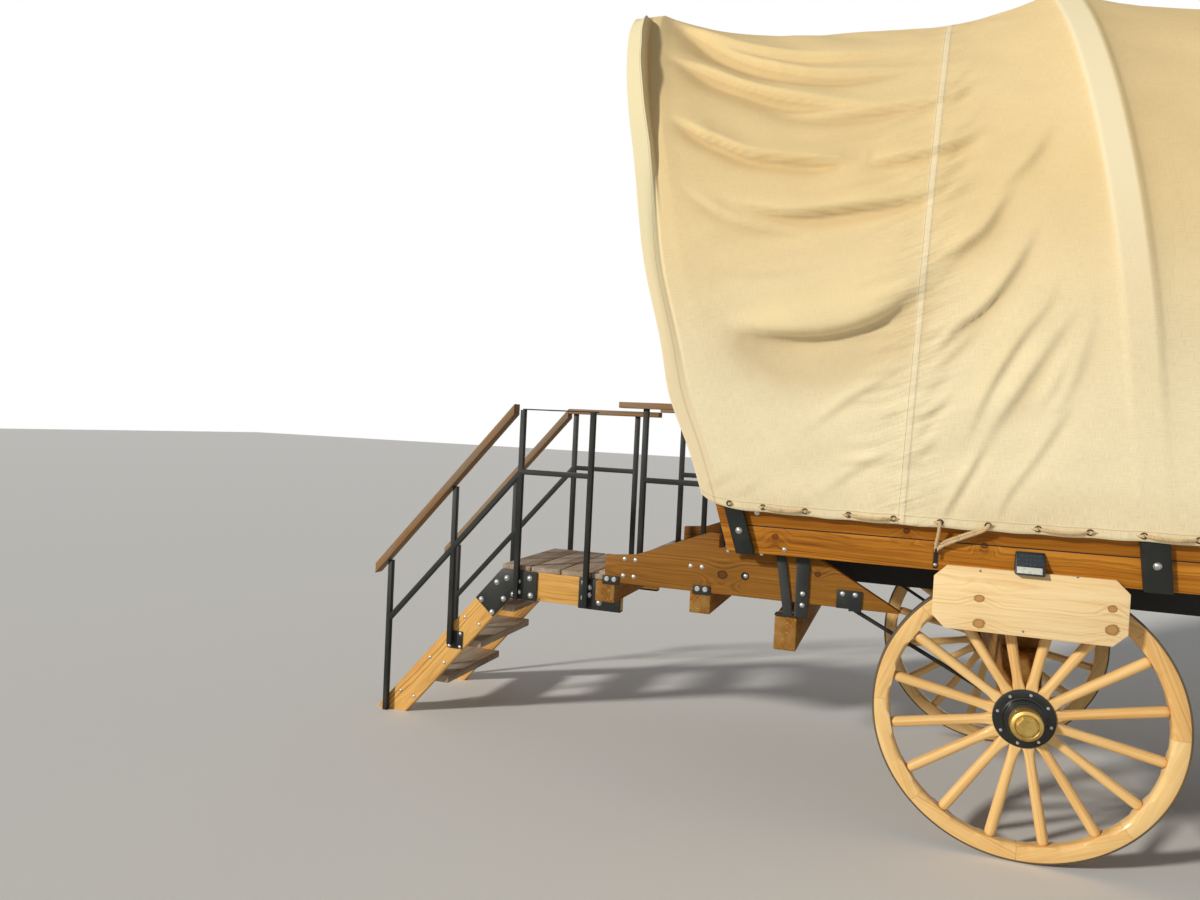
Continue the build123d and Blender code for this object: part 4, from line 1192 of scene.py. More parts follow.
def felloe_form():
    """Eight bent rim pieces, their inner edges chamfered between the spokes and left square at each one."""
    outer = WHEEL_R - TYRE_T
    inner = outer - RIM_DEPTH
    steps = 44
    verts, faces, grain, tint = [], [], [], []
    random = np.random.default_rng(21)
    joint = 0.0004 / outer
    for piece in range(8):
        first = math.pi / 4 * piece
        toned = random.uniform(0, 1)
        pith = random.uniform(0.03, 0.1, 2) * random.choice([-1, 1], 2)
        shift = random.uniform(-30, 30)
        middle = first + math.pi / 8
        start = len(verts)
        for k in range(steps + 1):
            a = first + joint + (math.pi / 4 - 2 * joint) * k / steps
            spoke = math.pi / 16 + round((a - math.pi / 16) / (math.pi / 8)) * math.pi / 8
            off = abs(a - spoke) * inner
            c = 0.0018 + 0.0125 * float(smooth(np.array(off), 0.030, 0.052))
            e = 0.0022
            ring = [(outer, e), (outer, RIM_W - e), (outer - e * 0.4, RIM_W - e * 0.3), (outer - e, RIM_W),
                    (inner + c, RIM_W), (inner + c * 0.72, RIM_W - c * 0.10),
                    (inner + c * 0.10, RIM_W - c * 0.72), (inner, RIM_W - c), (inner, c),
                    (inner + c * 0.10, c * 0.72), (inner + c * 0.72, c * 0.10), (inner + c, 0),
                    (outer - e, 0), (outer - e * 0.4, e * 0.3)]
            for r, y in ring:
                verts.append(on_wheel(r, a, y))
                along, _, rise = on_wheel(r, a - middle, y)
                grain.append((along + shift, rise - inner + pith[0], y + pith[1]))
                tint.append(toned)
        n = len(ring)
        faces += bar_sides(start, steps + 1, n)
        faces.append(tuple(range(start, start + n)))
        faces.append(tuple(range(start + steps * n, start + steps * n + n))[::-1])
    return verts, faces, grain, tint


# A spoke from its root between the hub plates to its tenon in the rim: distance from the hub's centre,
# width across the wheel's face, depth along the axle, and roundness (12 square, 2 round)
SPOKE_STEPS = [
    (0.0486, 0.0188, 0.0438, 12), (0.1040, 0.0408, 0.0438, 12), (0.1110, 0.0424, 0.0436, 10),
    (0.1180, 0.0404, 0.0432, 6), (0.1290, 0.0366, 0.0424, 4), (0.1460, 0.0344, 0.0412, 3),
    (0.1750, 0.0346, 0.0402, 2.4), (0.2200, 0.0364, 0.0396, 2.1), (0.2900, 0.0384, 0.0394, 2),
    (0.3700, 0.0394, 0.0394, 2), (0.4400, 0.0396, 0.0394, 2), (0.4560, 0.0388, 0.0386, 2),
    (0.4620, 0.0364, 0.0362, 2), (0.4660, 0.0320, 0.0318, 2), (0.4682, 0.0262, 0.0262, 2),
    (0.4690, 0.0210, 0.0210, 2),
]


def spoke_form():
    """Sixteen spokes: wedges that meet at the hub, then a round body with a domed shoulder at the rim."""
    sides = 24
    table = np.array(SPOKE_STEPS)
    reach = []
    for a, b in zip(table, table[1:]):
        count = max(1, int((b[0] - a[0]) / 0.02))
        reach += list(np.linspace(a[0], b[0], count, endpoint=False))
    reach.append(table[-1, 0])
    reach = np.array(reach)
    width, depth, power = (np.interp(reach, table[:, 0], table[:, k]) for k in (1, 2, 3))
    turn = 2 * math.pi * (np.arange(sides) + 0.5) / sides
    verts, faces, grain, tint = [], [], [], []
    random = np.random.default_rng(22)
    for k in range(16):
        a = 2 * math.pi / 16 * (k + 0.5)
        radial = np.array([math.sin(a), 0, math.cos(a)])
        side = np.array([math.cos(a), 0, -math.sin(a)])
        start = len(verts)
        pith = random.uniform(0.02, 0.09, 2) * random.choice([-1, 1], 2)
        shift = random.uniform(-30, 30)
        toned = random.uniform(0, 1)
        for r, w, d, p in zip(reach, width, depth, power):
            for t in turn:
                u = math.copysign(abs(math.cos(t)) ** (2 / p), math.cos(t)) * w / 2
                v = math.copysign(abs(math.sin(t)) ** (2 / p), math.sin(t)) * d / 2
                verts.append(radial * r + side * u + np.array([0, RIM_W / 2 + v, 0]))
                grain.append((r + shift, u + pith[0], v + pith[1]))
                tint.append(toned)
        faces += bar_sides(start, len(reach), sides)
        faces.append(tuple(range(start, start + sides)))
        faces.append(tuple(range(start + (len(reach) - 1) * sides, start + len(reach) * sides))[::-1])
    return verts, faces, grain, tint


def hub_form():
    """Pressed plates that pinch the spokes, a stepped collar in front and the tail of the hub behind."""
    pinch = (RIM_W - HUB_PINCH) / 2
    face = HUB_FACE
    back = RIM_W - pinch + HUB_PLATE_T
    nose = face - COLLAR_T
    ring = COLLAR_R
    plate = HUB_PLATE_R
    outline = [
        (SPINDLE_R + 0.0005, nose), (CAP_R + 0.003, nose), (ring - 0.008, nose + 0.001),
        (ring - 0.0065, nose + 0.003), (ring - 0.0065, nose + 0.006), (ring - 0.003, nose + 0.007),
        (ring - 0.0015, nose + 0.009), (ring - 0.0015, nose + 0.013), (ring + 0.001, nose + 0.014),
        (ring + 0.002, nose + 0.0165), (ring + 0.002, face - 0.006), (ring + 0.0035, face - 0.0025),
        (ring + 0.007, face), (plate - 0.0035, face), (plate - 0.0010, face + 0.0010), (plate, face + 0.0035),
        (plate, pinch - 0.0005), (plate - 0.0015, pinch), (BARREL_R, pinch), (BARREL_R, RIM_W - pinch),
        (plate - 0.0015, RIM_W - pinch), (plate, RIM_W - pinch + 0.0005), (plate, back - 0.0035),
        (plate - 0.0010, back - 0.0010), (plate - 0.0035, back), (BARREL_R + 0.014, back),
        (BARREL_R + 0.011, back + 0.003), (BARREL_R + 0.006, back + 0.049), (BARREL_R + 0.003, back + 0.052),
        (SPINDLE_R + 0.0005, back + 0.052),
    ]
    return turned(outline, 96)


def cap_form():
    """The brass dust cap: a knurled skirt, a rolled edge and a raised hexagon on its face."""
    face = HUB_FACE - COLLAR_T
    tip = face - CAP_REACH
    verts, faces = [], []
    segments = 144
    rows = [
        (CAP_R - 0.001, face, 0), (CAP_R - 0.001, face - 0.006, 0), (CAP_R, face - 0.008, 1),
        (CAP_R, face - 0.030, 1), (CAP_R - 0.0005, face - 0.033, 0), (CAP_R - 0.0005, tip + 0.012, 0),
        (CAP_R - 0.0025, tip + 0.006, 0), (CAP_R - 0.008, tip + 0.0018, 0), (CAP_R - 0.014, tip + 0.0008, 0),
        (CAP_R - 0.0175, tip + 0.0034, 0), (0.0372, tip + 0.0050, 0),
    ]
    for r, y, knurl in rows:
        for k, a in enumerate(whole_turn(segments)):
            ripple = 0.0009 * knurl * (1 if k % 4 < 2 else -1)
            verts.append(on_wheel(r + ripple, a, y))
    # Hexagon: the last round ring is followed by rings on a hexagon's outline
    flat = 0.0300
    crown = tip - 0.0070
    steps = ((flat, tip + 0.0050), (flat, crown + 0.0012), (flat - 0.0014, crown), (flat - 0.004, crown))
    for size, y in steps:
        for a in whole_turn(segments):
            sector = (a + math.radians(25)) % (math.pi / 3) - math.pi / 6
            verts.append(on_wheel(size / math.cos(sector), a, y))
    last = (len(rows) + len(steps) - 1) * segments
    for low in range(0, last, segments):
        faces += band(low, low + segments, segments)
    centre = len(verts)
    verts.append((0, crown, 0))
    verts.append((0, face, 0))
    for k in range(segments):
        n = (k + 1) % segments
        faces.append((last + k, centre, last + n))
        faces.append((n, centre + 1, k))
    return verts, faces


def wheels():
    """The four wheels, each with its tyre, felloes, spokes, hub, cap and hub bolts."""
    # Name, the node that it stands for, form, finish and the angle above which its edges are sharp
    pieces = [
        ("iron_tyre", "tyre", tyre_form(), TYRE_IRON, 40),
        ("bent_felloes", "felloes", felloe_form(), WHEEL_WOOD, 28),
        ("turned_spokes", "spokes", spoke_form(), WHEEL_WOOD, 50),
        ("pressed_hub", "hub", hub_form(), HUB_BLACK, 30),
        ("brass_cap", None, cap_form(), BRASS, 30),
    ]
    spots = [on_wheel(0.092, math.radians(11 + 45 * k), HUB_FACE - 0.0008) for k in range(8)]
    for place, (side, x) in WHEELS.items():
        for name, node, form, finish, angle in pieces:
            wheel_piece(name, node, place, form, finish, angle)
        rows = [(spot, (0, side, 0)) for spot in place_wheel(spots, side, x)]
        bolt_heads(f"hub_bolts_{place}", rows, (0.0046, 0.0040, 0.0054), ZINC, dome=False,
                   body="wheel_" + place)


# Small ironwork and lacing


def plate_of(outline, thick, ease=0.0015):
    """A flat plate with eased edges, from an outline of (u, v) in its own plane and from w = 0 up."""
    form = bmesh.new()
    face = form.faces.new([form.verts.new((u, v, 0)) for u, v in outline])
    lift = bmesh.ops.extrude_face_region(form, geom=[face])
    raised = [g for g in lift["geom"] if isinstance(g, bmesh.types.BMVert)]
    bmesh.ops.translate(form, verts=raised, vec=(0, 0, thick))
    bmesh.ops.recalc_face_normals(form, faces=form.faces)
    bmesh.ops.bevel(form, geom=form.edges[:], offset=ease, offset_type="OFFSET", segments=2, profile=0.5,
                    affect="EDGES", clamp_overlap=True)
    form.verts.index_update()
    verts = [tuple(v.co) for v in form.verts]
    faces = [[v.index for v in f.verts] for f in form.faces]
    form.free()
    return np.array(verts), faces


def rectangle(u0, u1, v0, v1):
    """The corners of a rectangle in order."""
    return [(u0, v0), (u1, v0), (u1, v1), (u0, v1)]


def stand(form, origin, u, w):
    """Moves a flat form so that its own axes follow u and w at the origin."""
    verts, faces = form
    u = np.array(u, float) / np.linalg.norm(u)
    w = np.array(w, float) / np.linalg.norm(w)
    return np.array(origin) + verts @ np.array([u, np.cross(w, u), w]), faces


def join(forms):
    """Several (verts, faces) as one."""
    verts, faces = [], []
    for v, f in forms:
        start = sum(len(x) for x in verts)
        verts.append(np.asarray(v, float))
        faces += [[start + k for k in face] for face in f]
    return np.concatenate(verts), faces


def headings(path):
    """The way that the path runs at each of its points."""
    tangent = np.gradient(path, axis=0)
    return tangent / np.linalg.norm(tangent, axis=1)[:, None]


def run_of(path):
    """How far along the path each of its points lies."""
    return np.r_[0, np.cumsum(np.linalg.norm(np.diff(path, axis=0), axis=1))]


def sweep(path, radius, sides):
    """A round bar along points, turned as little as possible on the way."""
    path = np.asarray(path, float)
    tangent = headings(path)
    across = np.cross(tangent[0], aside(tangent[0]))
    verts = []
    for point, t in zip(path, tangent):
        across = across - t * (across @ t)
        across /= np.linalg.norm(across)
        up = np.cross(t, across)
        verts += [point + radius * (math.cos(a) * across + math.sin(a) * up) for a in whole_turn(sides)]
    faces = bar_sides(0, len(path), sides)
    faces.append(list(range(sides))[::-1])
    faces.append([(len(path) - 1) * sides + j for j in range(sides)])
    return np.array(verts), faces


def smooth_run(points, step):
    """Even points on the smooth line that a NURBS spline draws from a few points."""
    curve = bpy.data.curves.new("run", "CURVE")
    curve.dimensions = "3D"
    spline = curve.splines.new("NURBS")
    spline.points.add(len(points) - 1)
    for spot, point in zip(spline.points, points):
        spot.co = (*point, 1)
    spline.order_u = 3
    spline.use_endpoint_u = True
    curve.resolution_u = 16
    holder = bpy.data.objects.new("run", curve)
    bpy.context.scene.collection.objects.link(holder)
    mesh = bpy.data.meshes.new_from_object(holder)
    dense = points_of(mesh)
    bpy.data.objects.remove(holder)
    bpy.data.curves.remove(curve)
    bpy.data.meshes.remove(mesh)
    gone = run_of(dense)
    even = np.linspace(0, gone[-1], max(3, int(gone[-1] / step)))
    return np.stack([np.interp(even, gone, dense[:, k]) for k in range(3)], 1)


def strands(points):
    """A rope of three strands laid round each other along a smooth run."""
    path = smooth_run(points, 0.0075)
    across = np.cross(headings(path), (0.03, 0.05, 1.0))
    across /= np.linalg.norm(across, axis=1)[:, None]
    up = np.cross(headings(path), across)
    forms = []
    for k in range(3):
        a = 2 * math.pi * (run_of(path) / ROPE_LAY + k / 3)
        offset = np.cos(a)[:, None] * across + np.sin(a)[:, None] * up
        forms.append(sweep(path + 0.52 * ROPE_R * offset, 0.54 * ROPE_R, 6))
    return join(forms)


def steel_piece(name, forms, material, body="wagon", angle=35):
    """Several forms as one piece."""
    piece = new_piece(name, *join(forms), material, smooth=True)
    face_out(piece, angle)
    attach(piece, body)
    return piece


def on_cover(x, s, side, out=0.0):
    """A point of the finished cover near its hem, by place along the wagon and measure up from the hem, moved
    out from the cloth, and the way that the cloth faces there."""
    place, rise, normal = COVER[side]

    def level(values):
        """The line of these values along the cloth at this measure."""
        return np.array([[np.interp(s, low, row[:, k]) for k in range(3)] for low, row in zip(rise, values)])

    line, facing = level(place), level(normal)
    point, aim = (np.array([np.interp(x, line[:, 0], row[:, k]) for k in range(3)]) for row in (line, facing))
    aim /= np.linalg.norm(aim)
    return point + aim * out, aim


def on_board(side, x, z, out=0.0):
    """A point of a flared side board's outer face, or out from it, and the way that the board faces."""
    flat = BOX_HALF + (z - BOX_FOOT) * math.tan(FLARE) + out / math.cos(FLARE)
    return (x, side * flat, z), (0, side * math.cos(FLARE), -math.sin(FLARE))


def upright(side, y, places):
    """Rows for bolt heads at places (x, z) of an upright face that stands y from the middle."""
    return [((x, side * y, z), (0, side, 0)) for x, z in places]


def rope_over_hook(side, a, b):
    """The rope from two eyelets down to the hook between them, with one strand doubled."""
    foot = np.array(on_board(side, a - 0.006, HOOK_TOP, 0.016)[0])
    low = foot + (0, 0, -0.012)
    lines = []
    for x, shift in ((a, -0.004), (b, 0.005)):
        start, aim = on_cover(x, EYELET_UP, side)
        near = start + aim * 0.009
        lines.append([start - aim * 0.008, near + (0, 0, 0.004), near + (0, 0, -0.012),
                      (near + foot) / 2 + (0, side * 0.003, -0.003), foot + (shift, 0, 0.004), low])
    lines.append([start - aim * 0.008, near + (0.004, 0, 0.006), near + (0.004, 0, -0.002),
                  (near + foot) / 2 + (0, side * 0.004, 0.007), foot + (0.004, 0, 0.016),
                  low + (0.002, 0, 0.01)])
    return lines


def rope_along_hem(side, a, b, out):
    """The rope from one eyelet to the next, in front of the cloth or behind it."""
    spots = []
    for t, off in ((0, -0.6 * out), (0.14, out), (0.5, out), (0.86, out), (1, -0.6 * out)):
        up = EYELET_UP - 0.004 * math.sin(math.pi * t)
        spots.append(on_cover(a + (b - a) * t, up, side, off)[0])
    return spots


def lacing():
    """Eyelets along both hems, the rope laced through them, and the hooks that hold it down."""
    eyelets, hooks, bolts = [], [], []
    ropes = {NEAR: [], FAR: []}
    for side, lines in ropes.items():
        eyelets += [on_cover(x, EYELET_UP, side, 0.0015) for x in EYELETS]
        for k, (a, b) in enumerate(zip(EYELETS, EYELETS[1:])):
            if any(a - 0.02 < x < b - 0.02 for x in HOOKS):
                lines += rope_over_hook(side, a, b)
            else:
                lines.append(rope_along_hem(side, a, b, 0.011 if k % 2 else -0.011))
    sizes = {"Ring Radius": 0.0098, "Wire Radius": 0.0024, "Finish": EYELET_METAL}
    place_on(rings_tree(), "eyelets", eyelets, sizes, "wagon")
    for side, lines in ropes.items():
        name = "lacing_rope_far" if side == FAR else "lacing_rope_near"
        steel_piece(name, [strands(line) for line in lines], ROPE, angle=80)
    for x in HOOKS:
        for side in (NEAR, FAR):
            foot, facing = (np.array(v) for v in on_board(side, x - 0.007, HOOK_FOOT))
            up = np.cross(facing, ALONG)
            up = up if up[2] > 0 else -up
            hooks.append(stand(plate_of(rectangle(-0.034, 0.038, -0.0075, 0.0075), 0.005), foot, up, facing))
            curl = [foot + up * rise + facing * out for rise, out in HOOK_CURL]
            hooks.append(sweep(smooth_run(curl, 0.003), 0.0045, 10))
            bolts.append((foot - up * 0.020 + facing * 0.005, facing))
    steel_piece("lacing_hooks", hooks, BLACK_STEEL)
    bolt_heads("hook_bolts", bolts, (0.0062, 0.004, 0.0066), ZINC)


def ironwork():
    """Brackets, bolts and nuts on the porch, landing, stair and box."""
    big, mid, small, nuts, brackets, shade_discs = [], [], [], [], [], []
    for side in (NEAR, FAR):
        face = side * HOUND_OUT
        aim = (0, side, 0)
        mid += upright(side, HOUND_OUT, HOUND_BOLTS)
        # Painted shade: a thin dark disc on each hound stands for the shade inside a sunk bolt hole
        shade_discs.append(sweep([(-2.269, face + side * out, 0.948) for out in (-0.001, 0, 0.0012)], 0.0165, 32))
        small += upright(side, HOUND_OUT + 0.0012, [(-2.266, 0.949)])
        for x, half in ((-2.846, 0.038), (-2.4465, 0.0375)):
            plate = plate_of(rectangle(-half, half, -0.019, 0.019), 0.006, 0.002)
            brackets.append(stand(plate, (x, face, 0.872), ALONG, aim))
            nuts += upright(side, HOUND_OUT + 0.006, [(x - 0.017, 0.8765), (x + 0.016, 0.8765)])
        big += upright(side, 0.3395, GUSSET_BOLTS + END_PLATE_BOLTS)
        for x, z in STRINGER_BOLTS:
            small += [((x, side * STRINGER_OUT, z), aim), ((x, side * STRINGER_IN, z), (0, -side, 0))]
        # Bracket of the stair post on the stringer
        x, z = -3.7915, 0.412
        plate = plate_of(rectangle(-0.042, 0.042, -0.045, 0.045), 0.006)
        brackets.append(stand(plate, (x, side * STRINGER_OUT, z), ALONG, aim))
        small += upright(side, STRINGER_OUT + 0.006, [(x + dx, z + dz) for dz in (0.034, -0.034)
                                                      for dx in (-0.030, 0.030)])
        # Stay plates and the angle at the rear timber
        mid += upright(side, 0.708, [(-1.881, 0.920), (-1.833, 0.920)])
        mid += upright(side, 0.710, [(-2.034, 0.903), (-2.034, 0.857)])
        # Feet of the bows on the box
        for x, lean, _, _ in BOWS:
            x = ax(x) - (1.146 - BOX_FOOT) * math.tan(math.radians(lean))
            big.append(on_board(side, x, 1.146, BOW_T))
        mid += [on_board(side, x, 1.081) for x in BOARD_BOLTS]
        nuts += [((x, side * 0.757, 1.0545), (0, 0, -1)) for x in (-2.331, -2.197, 3.415, 3.549)]
        nuts.append(on_board(side, -2.215, 1.221))
    steel_piece("angle_brackets", brackets, BLACK_STEEL)
    # The dark discs are painted shade for the sunk bolt holes
    steel_piece("sunk_bolt_painted_shade", shade_discs, SHADE_BLACK)
    # Painted shade: a dark strip laid in the joint between the two boards of each side, where the gap is in
    # shade
    low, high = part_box("side_boards_lower")
    half = (high[0] - low[0]) / 2 - 0.035
    joints = []
    for side in (NEAR, FAR):
        middle, facing = on_board(side, (low[0] + high[0]) / 2, BOX_FOOT + 0.1147 * math.cos(FLARE), -0.0012)
        strip = plate_of(rectangle(-half, half, -0.0022, 0.0022), 0.0006, 0.0002)
        joints.append(stand(strip, middle, ALONG, facing))
    steel_piece("board_joint_painted_shade", joints, SHADE_BLACK)
    screws = upright(NEAR, -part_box("sign_plaque")[0][1], PLAQUE_SCREWS)
    bolt_heads("plaque_screws", screws, (0.0042, 0.0015, 0.0044), ZINC_WORN, 10)
    bolt_heads("dome_bolts_large", big, (0.0118, 0.0088, 0.0135), ZINC)
    bolt_heads("dome_bolts", mid, (0.0095, 0.0055, 0.0097), ZINC)
    bolt_heads("screw_heads", small, (0.0080, 0.0048, 0.0086), ZINC)
    bolt_heads("hex_nuts", nuts, (0.0092, 0.0065, 0.0108), ZINC, dome=False)


def deck_screws():
    """Two screws at each end of every deck board and landing board."""
    rows = []
    for node, inset in (("porch_deck", 0.030), ("landing_boards", 0.022)):
        co = points_of(frame["nodes"][node].data)
        low, high = co.min(axis=0), co.max(axis=0)
        edges = np.unique(np.round(co[:, 0], 4))
        for a, b in zip(edges[0::2], edges[1::2]):
            rows += [((a + (b - a) * share, y, high[2] - 0.0009), (0, 0, 1))
                     for share in (0.22, 0.78) for y in (low[1] + inset, high[1] - inset)]
    bolt_heads("deck_screws", rows, (0.0042, 0.0012, 0.0044), ZINC_WORN, 10)


def solar_lamp():
    """A small wall lamp: dark housing, a panel of solar cells on its slope and a pale light strip below."""
    low, high = (np.array(v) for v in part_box("solar_lamp"))
    eased("solar_lamp", LAMP_PLASTIC, 0.004, 3)
    middle = (low[0] + high[0]) / 2
    half = (high[0] - low[0]) / 2
    top = np.array(on_board(NEAR, middle, high[2])[0])
    slope = np.array([middle, low[1], low[2]]) - top
    run = np.linalg.norm(slope)
    down = slope / run
    out = np.cross(down, ALONG)

    def on_slope(a, b, c, d, thick, ease):
        """A small plate that lies from a to b along the lamp and from c to d down its slope."""
        verts, faces = plate_of(rectangle(a, b, c, d), thick, ease)
        return top + verts @ np.array([ALONG, down, out]), faces

    # Raised rim round the panel
    edge = half - 0.004
    sill = 0.60 * run
    rim = ((-edge, edge, 0.004, 0.007), (-edge, edge, sill, sill + 0.003),
           (-edge, 0.003 - edge, 0.007, sill), (edge - 0.003, edge, 0.007, sill))
    steel_piece("lamp_rim", [on_slope(*sides, 0.0022, 0.0006) for sides in rim], LAMP_PLASTIC)
    columns, lines = 6, 3
    wide = (2 * half - 0.016) / columns
    tall = (sill - 0.010) / lines
    spots = [(-half + 0.008 + i * wide, 0.0085 + j * tall) for i in range(columns) for j in range(lines)]
    cells = [on_slope(a, a + wide - 0.0012, c, c + tall - 0.0012, 0.0009, 0.0003) for a, c in spots]
    steel_piece("solar_cells", cells, SOLAR_CELL)
    lens = on_slope(-half + 0.006, half - 0.010, 0.665 * run, 0.93 * run, 0.003, 0.0012)
    steel_piece("lamp_lens", [lens], LAMP_LENS)


# The lever's rose, neck and handle as (out from the leaf, along it, up)
LEVER_LINES = (
    [(0, 0, 0), (0.004, 0, 0), (0.009, 0, 0)],
    [(0, 0, 0), (0.02, 0, 0), (0.045, 0, 0)],
    [(0.042, -0.004, 0), (0.050, 0.02, 0), (0.050, 0.07, -0.001), (0.046, 0.115, -0.004)],
)


def door_fittings():
    """Casing round the doorway, and a lever handle on both sides of the leaf."""
    wall_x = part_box("front_wall")[0][0]
    low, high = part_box("door")
    half = 0.330 + 0.008
    rim = half + 0.060
    foot, top = 1.124, high[2] + 0.008
    forms = []
    for sides in ((-rim, -half, foot, top), (half, rim, foot, top), (-rim, rim, top, top + 0.060)):
        verts, faces = plate_of(rectangle(*sides), 0.016, 0.003)
        forms.append((np.stack([wall_x - verts[:, 2], verts[:, 0], verts[:, 1]], 1), faces))
    lay_grain(steel_piece("door_casing", forms, RAIL_WOOD), 31)
    forms = []
    y, z = -0.270, 2.110
    for face, way in ((max(low[0], wall_x), -1), (wall_x + 0.040, 1)):
        rose, neck, lever = ([(face + way * out, y + along, z + rise) for out, along, rise in line]
                             for line in LEVER_LINES)
        forms += [sweep(rose, 0.026, 28), sweep(neck, 0.009, 16), sweep(smooth_run(lever, 0.006), 0.0085, 14)]
    steel_piece("door_lever", forms, BLACK_STEEL, body="door_leaf")


# The studio


def floor_and_sky():
    """A plain floor, and a sky that lights softly but is white to the camera, reflections and clear panes."""
    corners = [(u, v, 0) for u, v in rectangle(-45, 45, -45, 45)]
    floor = new_piece("studio_floor", corners, [(0, 1, 2, 3)], None)
    paint = Paint("studio_floor_paint", 0.9)
    paint.shader.inputs["Base Color"].default_value = (0.80, 0.79, 0.77, 1)
    floor.data.materials.append(paint.material)
    world = bpy.data.worlds.new("studio")
    bpy.context.scene.world = world
    world.use_nodes = True
    tree = world.node_tree
    tree.nodes.clear()
    path = add_node(tree, "ShaderNodeLightPath")
    seen = path["Is Camera Ray"]
    for ray in ("Is Glossy Ray", "Is Transmission Ray"):
        seen = add_node(tree, "ShaderNodeMath", {"operation": "MAXIMUM"}, {0: seen, 1: path[ray]})[0]
    soft, white = (add_node(tree, "ShaderNodeBackground", {}, {"Color": colour, "Strength": strength})[0]
                   for colour, strength in (((0.93, 0.96, 1.0, 1), FILL), ((1, 1, 1, 1), 1.0)))
    sky = add_node(tree, "ShaderNodeMixShader", {}, {0: seen, 1: soft, 2: white})[0]
    add_node(tree, "ShaderNodeOutputWorld", {}, {0: sky})


def sunlight():
    sun = bpy.data.lights.new("key", "SUN")
    sun.energy = KEY
    sun.angle = math.radians(5)
    sun.color = (1.0, 0.955, 0.88)
    lamp = bpy.data.objects.new("key", sun)
    lamp.rotation_euler = Vector(KEY_WAY).to_track_quat("-Z", "Y").to_euler()
    bpy.context.scene.collection.objects.link(lamp)


def photo_camera():
    """The camera at the photograph's place, turned away from +Y by its yaw, pitch and roll."""
    camera = bpy.data.cameras.new("camera")
    camera.sensor_width = 36
    camera.sensor_fit = "HORIZONTAL"
    camera.lens = CAMERA_LENS
    camera.clip_end = 300
    eye = bpy.data.objects.new("camera", camera)
    yaw, pitch, roll = (math.radians(a) for a in CAMERA_TURN)
    ahead = Vector((-math.sin(yaw) * math.cos(pitch), math.cos(yaw) * math.cos(pitch), -math.sin(pitch)))
    level = Vector((math.cos(yaw), math.sin(yaw), 0))
    above = level.cross(ahead)
    right = math.cos(roll) * level + math.sin(roll) * above
    up = -math.sin(roll) * level + math.cos(roll) * above
    turn = Matrix((right, up, -ahead)).transposed().to_4x4()
    eye.matrix_world = Matrix.Translation(CAMERA_PLACE) @ turn
    bpy.context.scene.collection.objects.link(eye)
    bpy.context.scene.camera = eye
    bpy.context.scene.view_settings.view_transform = "Standard"


# Strength of the key light and of the sky's fill, and the way the key light shines
KEY = 2.70
FILL = 0.22
KEY_WAY = (1.05, 1.25, -0.70)

# Lens in millimetres, place in metres, and yaw to the left, pitch down and roll in degrees
CAMERA_LENS = 26.097
CAMERA_PLACE = (-1.6435, -4.238, 1.5294)
CAMERA_TURN = (19.897, 1.534, 2.73)

# Lacing: places of the hooks and eyelets along the wagon, heights of a hook's foot and of the rope over it,
# the curl of a hook as (up the board, out from it), the eyelets' measure up from the hem, and the rope
HOOKS = (-1.545, -0.099, 1.508, 2.955)
HOOK_FOOT = 1.098
HOOK_TOP = 1.142
HOOK_CURL = [(0.036, 0.004), (0.046, 0.006), (0.050, 0.016), (0.042, 0.024), (0.028, 0.024), (0.020, 0.021)]
EYELETS = [-2.319] + [-2.188 + 0.1607 * k for k in range(36)]
EYELET_UP = 0.020
ROPE_R = 0.0070
ROPE_LAY = 0.034

# Bolts as (x, z), BOARD_BOLTS as x alone, and the distances of the stringers' two faces from the middle
HOUND_BOLTS = [(-2.787, 0.968), (-2.739, 0.968), (-2.791, 0.896), (-2.744, 0.896), (-2.497, 0.967),
               (-2.449, 0.967)]
GUSSET_BOLTS = [(-3.568, 0.731), (-3.514, 0.757), (-3.450, 0.747), (-3.390, 0.768), (-3.650, 0.636),
                (-3.528, 0.652), (-3.475, 0.680), (-3.447, 0.694), (-3.382, 0.684), (-3.588, 0.578)]
END_PLATE_BOLTS = [(-3.104, 0.778), (-3.104, 0.703), (-3.077, 0.757), (-3.077, 0.721), (-3.024, 0.778),
                   (-3.024, 0.690)]
STRINGER_BOLTS = [(-3.742, 0.533), (-3.660, 0.505), (-3.933, 0.302), (-3.850, 0.285), (-4.100, 0.105),
                  (-4.020, 0.085)]
STRINGER_OUT = 0.3315
STRINGER_IN = 0.2935
BOARD_BOLTS = (-2.105, -0.62, 0.86, 2.33, 3.34)
PLAQUE_SCREWS = [(-1.398, 1.073), (-1.085, 1.083), (-1.247, 0.870)]

# Knots that show on the real boards, as (x, z, radius)
BOARD_KNOTS = [(-2.142, 1.131, 0.010), (-1.658, 1.196, 0.009), (-1.389, 1.165, 0.009), (-0.42, 1.112, 0.011),
               (0.66, 1.205, 0.009), (1.19, 1.098, 0.012), (2.05, 1.14, 0.010), (2.86, 1.21, 0.009)]
HOUND_KNOTS = [(-2.361, 0.944, 0.016), (-1.98, 0.985, 0.009)]
PLAQUE_KNOTS = [(-1.396, 0.972, 0.012), (-1.393, 0.881, 0.015), (-0.971, 0.983, 0.011),
                (-0.969, 0.910, 0.016)]

# Finishes, their colours from pale to dark as they show on screen
CANVAS = canvas_cloth("canvas_duck")
BOARD_WOOD = wood("oiled_box_boards", (214, 150, 58), (188, 122, 34), (128, 72, 14), BOARD_KNOTS, 0.1,
                  rough=0.5)
